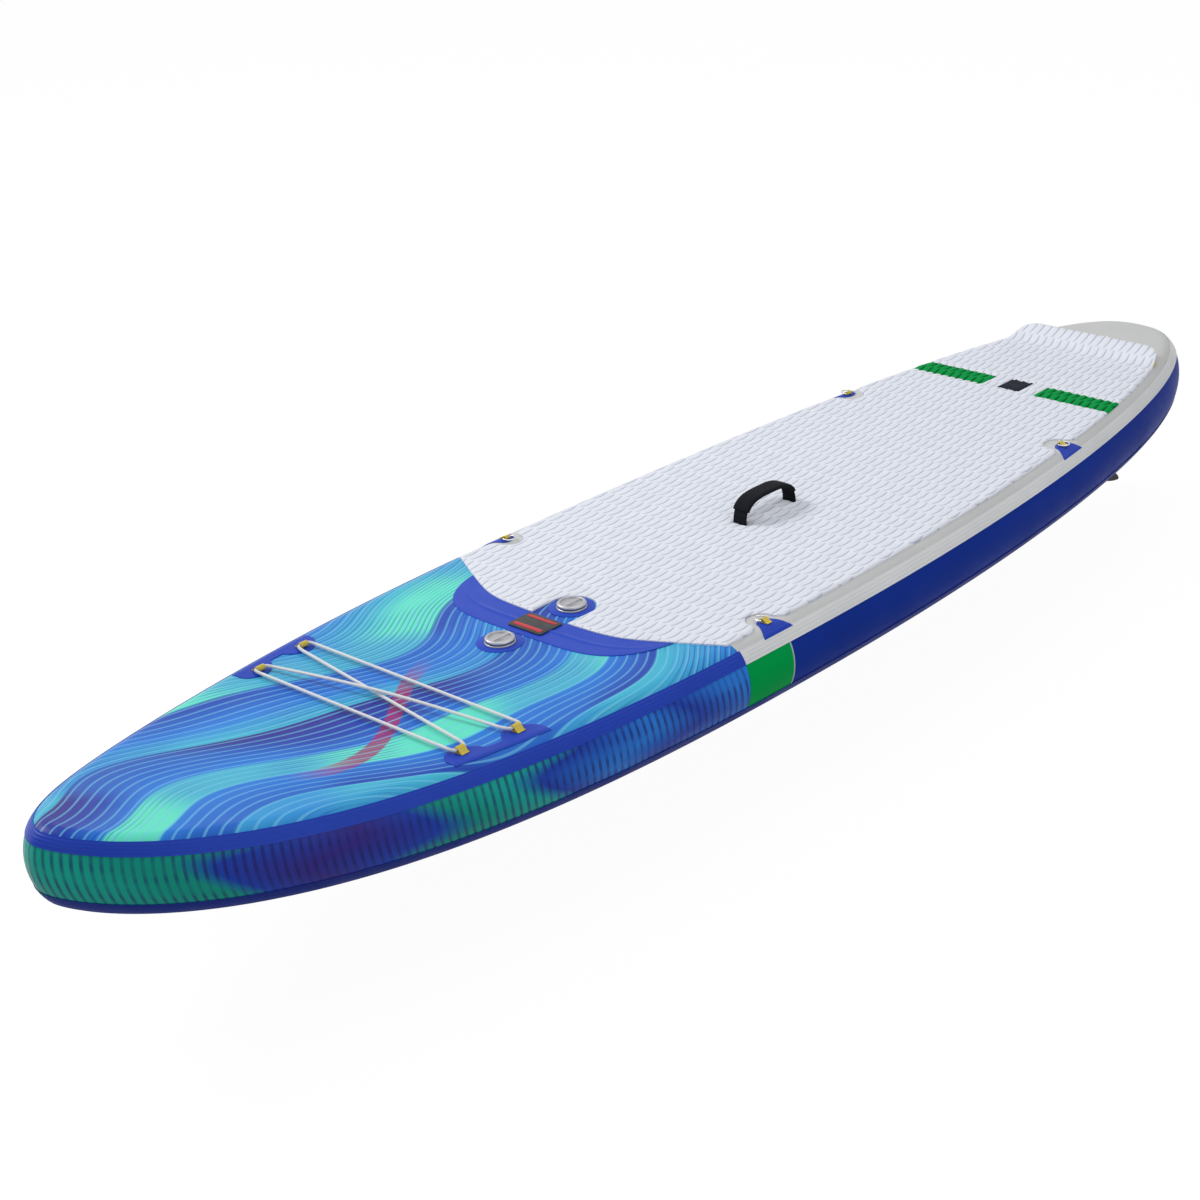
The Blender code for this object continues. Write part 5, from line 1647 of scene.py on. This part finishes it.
for end, x in VALVES.items():
    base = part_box(f"valve_body_{end}")[1].z - FLANGE
    seat = lathe(f"valve_seat_{end}", seat_profile(base))
    for i in range(AIR_HOLES):
        turn = AIR_HOLE_START + i * 2 * math.pi / AIR_HOLES
        x_hole, y_hole = AIR_HOLE_CIRCLE * math.cos(turn), AIR_HOLE_CIRCLE * math.sin(turn)
        drill(seat, (x_hole, y_hole, base - WEB_TOP - WEB / 2), AIR_HOLE, 2 * WEB, AIR_HOLE_SIDES)
    dress(shift(seat, x), silver.material, "board", "silver_plastic", f"valve_body_{end}")
    plunger = shift(lathe(f"valve_pin_{end}", plunger_profile(base), steps=48), x)
    dress(plunger, nylon.material, f"valve_plunger_{end}", "black_nylon", f"valve_plunger_{end}")
    seal = shift(lathe(f"cap_seal_{end}", gasket_profile(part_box(f"valve_gasket_{end}")[0].z)), x)
    dress(seal, rubber.material, f"valve_gasket_{end}", "black_rubber", f"valve_gasket_{end}")
    refinish(nylon.material, f"valve_nut_{end}")

# %% [markdown]
# Webbing is a flat woven strap. A loop of it starts flat on its patch, runs up and over what it holds and
# back under itself, so it is a grid along that path, given the strap's thickness. Its weave follows the
# grid's own UV map, because the threads turn with the strap.

# %% Webbing loops
WEBBING_YELLOW = (0.86, 0.66, 0.11)
WEBBING_BLACK = (0.008, 0.009, 0.012)
# How dark the painted shade between the threads is, as a share of the webbing's colour.
THREAD_PAINTED_SHADE = 0.55
THREAD_STOPS = (0.1, 0.6)
THREAD_DEPTH = 0.00025
THREAD_ROUGHNESS = 0.75
THREAD_SHINE = 0.08
FUZZ_ROUGHNESS = 0.4


def webbing(name, colour, along, across, fuzz=0.0):
    """Woven strap with so many threads along and across its UV map, with painted shade where the threads
    sink.
    """
    made = Finish(name, THREAD_ROUGHNESS, coordinates="UV")
    ribs = made.weave(made.times(made.x, along), made.times(made.y, across), 1.0)
    # Painted shade: the weave's low spots get the darker colour.
    darker = tuple(channel * THREAD_PAINTED_SHADE for channel in colour)
    made.colour(made.ramp(ribs, tuple(zip(THREAD_STOPS, (darker, colour)))))
    made.bump(ribs, THREAD_DEPTH)
    made.sockets(Specular_IOR_Level=THREAD_SHINE, Sheen_Weight=fuzz, Sheen_Roughness=FUZZ_ROUGHNESS)
    return made.material


yellow_webbing = webbing("yellow_webbing", WEBBING_YELLOW, along=26.0, across=10.0, fuzz=0.1)
black_webbing = webbing("black_webbing", WEBBING_BLACK, along=60.0, across=14.0)
STRAP = 0.0012
LOOP_WIDTH = 0.0135
LOOP_TAIL = 0.015
LOOP_SHEET = 0.9 * STRAP
LOOP_FREE = 0.0013
# The strap's end lies on its own foot, and rises a little before it goes round the eye.
STRAP_RISE = (1.05 * STRAP, 1.25 * STRAP)
STRAP_WRAP = 1.22 * math.pi
TAIL_RISE_AT = 0.8
TAIL_FOOT_AT = 0.5
LOOP_GRID = (60, 12)


def strap_path(bore, tail):
    """The strap's outer face: along the top from its tail, round the eye and back along the patch."""
    outer = bore + STRAP
    rise = [(-tail, STRAP_RISE[0]), (-tail * TAIL_RISE_AT, STRAP_RISE[1])]
    arc = [(outer * math.sin(t), outer - outer * math.cos(t)) for t in spread(STRAP_WRAP, 0.0, 22)]
    return rise + arc + [(-tail * TAIL_FOOT_AT, 0.0), (-tail, 0.0)]


def strap_loop(name, bore, width, tail, spot, spin):
    path = strap_path(bore, tail)
    cos, sin = math.cos(spin), math.sin(spin)

    def place(u, v):
        at = min(u * (len(path) - 1), len(path) - 1.000001)
        i = int(at)
        y = mix(path[i][0], path[i + 1][0], at - i)
        z = mix(path[i][1], path[i + 1][1], at - i)
        x = (v - 0.5) * width
        return spot[0] + x * cos - y * sin, spot[1] + x * sin + y * cos, spot[2] + z

    centre = Vector((spot[0], spot[1], spot[2] + bore + STRAP))
    piece = lay(name, *LOOP_GRID, place, lambda point: point - centre)
    return thicken(piece, LOOP_SHEET)


print("loops of", LOOP_WIDTH, "wide strap")

# %% [markdown]
# The rings are bent wire: a straight bar that the loop holds, and a round bow. A tube is a grid wrapped
# round a path, and the path closes on itself, so the wire has no ends. Each ring rides on a body of its own
# and turns in its loop.

# %% Rings
RING_WIRE = 0.0015
RING_HALF = 0.0125
RING_REACH = 0.0200
RING_SHOULDER = 0.0029
RING_BAR = 0.75 * RING_HALF


def ring_path():
    """A straight bar and a bow over it, with the bar on the x axis."""
    bow = RING_REACH - RING_SHOULDER
    points = [(x, 0.0) for x in spread(-RING_BAR, RING_BAR, 10)]
    for t in spread(0.0, math.pi, 44):
        points.append((RING_HALF * math.cos(t), RING_SHOULDER + bow * math.sin(t)))
    return [Vector((x, y, 0.0)) for x, y in points]


def tube(name, path, radius, around=14, closed=True):
    """A round tube along a path of points, closed on itself or open at its ends."""
    count = len(path)

    def square_to(i):
        before = path[(i - 1) % count] if closed else path[max(0, i - 1)]
        after = path[(i + 1) % count] if closed else path[min(count - 1, i + 1)]
        along = (after - before).normalized()
        side = along.cross(Vector((0.0, 0.0, 1.0))).normalized()
        return side, side.cross(along)

    squares = [square_to(i) for i in range(count)]
    steps = count if closed else count - 1

    def place(u, v):
        i = round(u * steps) % count if closed else round(u * steps)
        side, top = squares[i]
        turn = 2 * math.pi * v
        return path[i] + (side * math.cos(turn) + top * math.sin(turn)) * radius

    def out(point):
        return point - min(path, key=lambda spot: (spot - point).length_squared)

    return lay(name, steps, around, place, out)


def ring_and_loop(name, spot, spin, lies_in):
    bore = RING_WIRE + LOOP_FREE
    loop = strap_loop(f"{name}_strap", bore, LOOP_WIDTH, LOOP_TAIL, spot, spin)
    dress(loop, yellow_webbing, "board", "yellow_webbing", f"{name}_loop")
    low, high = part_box(name)
    turn = Matrix.Rotation(spin if lies_in else spin + math.pi, 4, "Z")
    centre = Vector((spot[0], spot[1], (low.z + high.z) / 2))
    path = [Matrix.Translation(centre) @ turn @ point for point in ring_path()]
    dress(tube(f"{name}_wire", path, RING_WIRE), steel.material, name, "stainless_steel", name, sharp=60.0)


for end, x in RING_X.items():
    for side_name, side in SIDES:
        spot = (x, side * half_width(x, RING_INSET), deck(x) + LAID_GAP + PATCH + LAID_GAP)
        ring_and_loop(f"d_ring_{end}_{side_name}", spot, inward(x, side), end == "front")
leash_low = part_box("leash_ring_loop")[0].z
ring_and_loop("leash_ring", (LEASH_X, 0.0, leash_low), math.pi / 2, True)

# %% [markdown]
# Under each cap a small coil spring holds the plunger up. It is a tube along a helix, made at its rest
# height. When the plunger is pressed the real coil closes up, by the plunger's travel.

# %% Valve springs
SPRING_WIRE = 0.0005
SPRING_TURNS = 4
SPRING_STEPS = 24


def coil_path(x, radius, low, high):
    steps = SPRING_TURNS * SPRING_STEPS
    turns = spread(0.0, 2 * math.pi * SPRING_TURNS, steps)
    heights = spread(low, high, steps)
    return [Vector((x + radius * math.cos(t), radius * math.sin(t), z)) for t, z in zip(turns, heights)]


for end, x in VALVES.items():
    low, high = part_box(f"valve_spring_{end}")
    radius = (high.y - low.y) / 2 - SPRING_WIRE
    path = coil_path(x, radius, low.z + SPRING_WIRE, high.z - SPRING_WIRE)
    spring = tube(f"return_spring_{end}", path, SPRING_WIRE, around=10, closed=False)
    close_ends()
    dress(spring, steel.material, "board", "stainless_steel", f"valve_spring_{end}", sharp=60.0)
    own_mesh(spring)

# %% [markdown]
# The bungee is one endless cord through four loops, crossed in the middle. Its route repeats the frame's: a
# tight turn at each loop and a straight stretch to the next, one diagonal lifted over the other. The grid's
# UV map carries the braid.

# %% Bungee braid and bends
CORD_RADIUS = 0.0032
BUNGEE_LOOP = 0.018
CORD_TURN = 0.0065
CORD_LEAD = 0.024
CORD_LIFT = 0.0085
EYE_RISE = 0.0014
SPAN_STEPS = 18
BRAID_ALONG = 620.0
BRAID_ROUND = 8.0
BRAID_DEPTH = 0.0003
# The grey is painted shade, laid where the braid sinks; the raised threads are white.
BRAID_PAINTED_SHADE = (0.60, 0.60, 0.60)
THREAD_WHITE = (0.86, 0.86, 0.85)
CORD_ROUGHNESS = 0.6
cord_look = Finish("white_braided_cord", CORD_ROUGHNESS, coordinates="UV")
runs = cord_look.times(cord_look.x, BRAID_ALONG)
lays = [cord_look.add(runs, cord_look.times(cord_look.y, turns)) for turns in (BRAID_ROUND, -BRAID_ROUND)]
braid = cord_look.weave(*lays, 1.0)
# Painted shade: the braid's low spots are grey.
cord_look.colour(cord_look.ramp(braid, ((0.1, BRAID_PAINTED_SHADE), (0.5, THREAD_WHITE))))
cord_look.bump(braid, BRAID_DEPTH)


def cord_bend(eye, first, other, steps=8):
    """The cord's bend from a straight stretch into a loop, on the loop's first side."""
    x, y, z = eye
    mouth = Vector((x + first * BUNGEE_LOOP / 2, y, z))
    corner = mouth + Vector((first * CORD_TURN, 0.0, 0.0))
    start = corner + (Vector(other) - corner).normalized() * CORD_LEAD
    ways = [(start.lerp(corner, t), corner.lerp(mouth, t), t) for t in spread(0.0, 1.0, steps)]
    return [early.lerp(late, t) for early, late, t in ways]


print("braid", BRAID_ALONG, "by", BRAID_ROUND)

# %% Bungee loops and cord
eyes = {}
for side_name, side in SIDES:
    for end, x in BUNGEE_X.items():
        name = f"bungee_loop_{end}_{side_name}"
        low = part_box(name)[0].z
        spot = (x, side * half_width(x, BUNGEE_INSET), low)
        bore = CORD_RADIUS + LOOP_FREE
        loop = strap_loop(f"{name}_strap", bore, BUNGEE_LOOP, LOOP_TAIL, spot, math.pi if side > 0 else 0.0)
        dress(loop, yellow_webbing, "board", "yellow_webbing", name)
        eyes[end, side_name] = (spot[0], spot[1], low + bore + EYE_RISE)

stops = [
    (eyes["front", "port"], 1), (eyes["rear", "starboard"], 1),
    (eyes["rear", "port"], -1), (eyes["front", "starboard"], -1),
]
lifts = (0.0, 0.0, CORD_LIFT, 0.0)
route = []
for i, (eye, first) in enumerate(stops):
    after, after_first = stops[(i + 1) % 4]
    route += cord_bend(eye, first, stops[i - 1][0])
    leaving = cord_bend(eye, -first, after)[::-1]
    route += leaving
    arriving = cord_bend(after, after_first, eye)[0]
    for t in spread(0.0, 1.0, SPAN_STEPS)[1:-1]:
        route.append(leaving[-1].lerp(arriving, t) + Vector((0.0, 0.0, lifts[i] * math.sin(math.pi * t))))
cord = tube("bungee_cord_braid", route, CORD_RADIUS, around=16)
dress(cord, cord_look.material, "board", "white_cord", "bungee_cord", sharp=70.0)
cord_length = sum((after - before).length for before, after in zip(route, route[1:] + route[:1]))
print("bungee cord", round(cord_length, 3), "m round")

# %% [markdown]
# The carry handle is a strap that comes up through the pad, with a padded sleeve over its middle. Both
# follow one arch. The sleeve is a soft oblong section carried along it, and the strap's feet are gathered
# in small folds.

# %% Handle arch
HANDLE_X = (-0.115, -0.275)
HANDLE_RISE = 0.047
LEG_POWER = 0.6
ARCH_POWER = 0.75
HANDLE_STRAP = (0.0035, 0.034)
SLEEVE = (0.0098, 0.042)
SLEEVE_ENDS = (0.155, 0.845)
FOLDS = 3
FOLDED = 0.165
FOLD = 0.0016
STRAP_SQUARENESS = 0.35
SLEEVE_SQUARENESS = 0.5
SLEEVE_LIFT = 0.0010
SLEEVE_END = 0.72
SLEEVE_TAPER = 0.06
SLEEVE_BLACK = (0.009, 0.010, 0.014)
STRAP_GRID = (160, 24)
SLEEVE_GRID = (120, 40)


def handle_point(part):
    middle = sum(HANDLE_X) / 2
    half = (HANDLE_X[0] - HANDLE_X[1]) / 2
    turn = math.pi * part
    x = middle + half * math.copysign(abs(math.cos(turn)) ** LEG_POWER, math.cos(turn))
    return x, deck(middle) + LAID_GAP + (HANDLE_RISE + PAD) * math.sin(turn) ** ARCH_POWER


def handle_frame(part, step=0.004):
    """A point of the arch and the direction square to it."""
    x0, z0 = handle_point(max(0.0, part - step))
    x1, z1 = handle_point(min(1.0, part + step))
    size = math.hypot(x1 - x0, z1 - z0)
    x, z = handle_point(part)
    return x, z, (z1 - z0) / size, -(x1 - x0) / size


def oblong(v, thickness, width, power):
    """A point of a soft rectangle, thickness by width."""
    c, s = math.cos(2 * math.pi * v), math.sin(2 * math.pi * v)
    return (
        math.copysign(abs(c) ** power, c) * thickness / 2,
        math.copysign(abs(s) ** power, s) * width / 2,
    )


def arch_piece(name, ends, section, grid, power, swell, lift=0.0):
    def place(u, v):
        x, z, out_x, out_z = handle_frame(mix(*ends, u))
        off, y = oblong(v, section[0] * swell(u), section[1], power)
        off += lift
        return x + out_x * off, y, z + out_z * off

    middle = Vector((sum(HANDLE_X) / 2, 0.0, THICKNESS))
    piece = lay(name, *grid, place, lambda point: point - middle)
    close_ends()
    return piece


def strap_swell(u):
    """Folds gathered near the strap's two feet."""
    foot = min(u, 1.0 - u)
    if foot > FOLDED:
        return 1.0
    return 1.0 + FOLD / HANDLE_STRAP[0] * (0.5 - 0.5 * math.cos(2 * math.pi * FOLDS * foot / FOLDED))


def sleeve_swell(u):
    """The padding thins towards the sleeve's two ends."""
    return mix(SLEEVE_END, 1.0, min(1.0, min(u, 1.0 - u) / SLEEVE_TAPER) ** 0.5)


print("arch rises", HANDLE_RISE)

# %% Handle strap and sleeve
strap = arch_piece("handle_webbing", (0.0, 1.0), HANDLE_STRAP, STRAP_GRID, STRAP_SQUARENESS, strap_swell)
dress(strap, black_webbing, "board", "black_webbing", "handle_strap", sharp=SOFT_SHARP)
sleeve_look = webbing("black_padded_sleeve", SLEEVE_BLACK, along=110.0, across=60.0)
sleeve = arch_piece(
    "handle_sleeve", SLEEVE_ENDS, SLEEVE, SLEEVE_GRID, SLEEVE_SQUARENESS, sleeve_swell, SLEEVE_LIFT)
dress(sleeve, sleeve_look, "board", "black_webbing", "handle_grip", sharp=SOFT_SHARP)

# %% [markdown]
# Under the tail hangs the fin, which slides in a box glued to the bottom. Its blade is a swept foil, thick
# ahead and thin behind, so a grid runs down the blade and round its section. The tab that slides in the box
# is the frame's own shape: a copy of the fin, bisected above the blade, that rides with it.

# %% Fin
BLADE_DEPTH = 0.209
BLADE_CHORD = 0.140
BLADE_THICKNESS = 0.0086
TAB_LENGTH = 0.172
SWEEP = (0.262, 1.6)
TAIL_SWEEP = (0.168, 1.8)
TIP_SHARE = 0.10
TIP_HALF = 0.0035
TIP_THIN = 0.25
TIP_CENTRE = 0.4
BLADE_THIN = 0.72
FOIL = 0.25
BLADE_GRID = (60, 48)
FIN_GAP = 0.0003
TAB_OVERLAP = 0.0009
BOX_DEPTH = 0.022
FIN_X = -1.300
FIN_TILT = -math.atan(2 * TAIL_ROCKER * FIN_X / (LENGTH / 2) ** 2)
BOX_LOW = -(LAID_GAP + PATCH + FIN_GAP + BOX_DEPTH)
fin_place = Matrix.Translation((FIN_X, 0.0, rocker(FIN_X))) @ Matrix.Rotation(FIN_TILT, 4, "Y")


def blade_point(part, v):
    lead = BLADE_CHORD - TAB_LENGTH / 2 - SWEEP[0] * part ** SWEEP[1]
    trail = -TAB_LENGTH / 2 - TAIL_SWEEP[0] * part ** TAIL_SWEEP[1]
    into_tip = max(0.0, (part - 1.0) / TIP_SHARE + 1.0)
    tip = math.sqrt(max(0.0, 1.0 - into_tip ** 2))
    half = max(TIP_HALF, (lead - trail) * tip / 2)
    centre = mix(mix(trail, lead, TIP_CENTRE), (lead + trail) / 2, tip)
    turn = 2 * math.pi * v
    thick = BLADE_THICKNESS * (1.0 - BLADE_THIN * part) * mix(TIP_THIN, 1.0, tip)
    y = thick / 2 * math.sin(turn) * (1.0 + FOIL * math.cos(turn))
    return fin_place @ Vector((centre + half * math.cos(turn), y, BOX_LOW - FIN_GAP - part * BLADE_DEPTH))


blade = lay("fin_blade", *BLADE_GRID, blade_point, lambda point: Vector((0.0, point.y, 0.0)))
close_ends()
print("blade", len(blade.data.polygons), "faces")
tab = copy_of("centre_fin", "fin_tab")
plane = {
    "plane_co": fin_place @ Vector((0.0, 0.0, BOX_LOW - TAB_OVERLAP)),
    "plane_no": fin_place.to_3x3() @ Vector((0.0, 0.0, 1.0)),
}
edit((bpy.ops.mesh.bisect, {**plane, "clear_inner": True, "use_fill": True}))
dress(blade, nylon.material, "fin", "black_nylon", "centre_fin", sharp=60.0)
dress(tab, nylon.material, "fin", "black_nylon")

# %% [markdown]
# Pieces whose shape in the frame is right already keep it and get a finish: the fin's box and screw, and
# the chamber inside the board.

# %% Kept pieces
CORE_GREY = (0.72, 0.72, 0.70)
CORE_DRIFT = (0.05, 12.0)
CORE_ROUGHNESS = 0.8
core = Finish("drop_stitch_core", CORE_ROUGHNESS)
core.colour(core.mottle(CORE_GREY, *CORE_DRIFT))
refinish(nylon.material, "fin_box")
refinish(steel.material, "fin_screw", "fin_pin", "fin_plate_nut")
refinish(blue_pvc, "fin_box_patch")
refinish(core.material, "inner_chamber")
print("inner chamber in", core.material.name)

# %% [markdown]
# Last, the frame's box is written out.

# %% Sizes and finish
print("frame box", [round(a, 4) for c in cad_box for a in c])
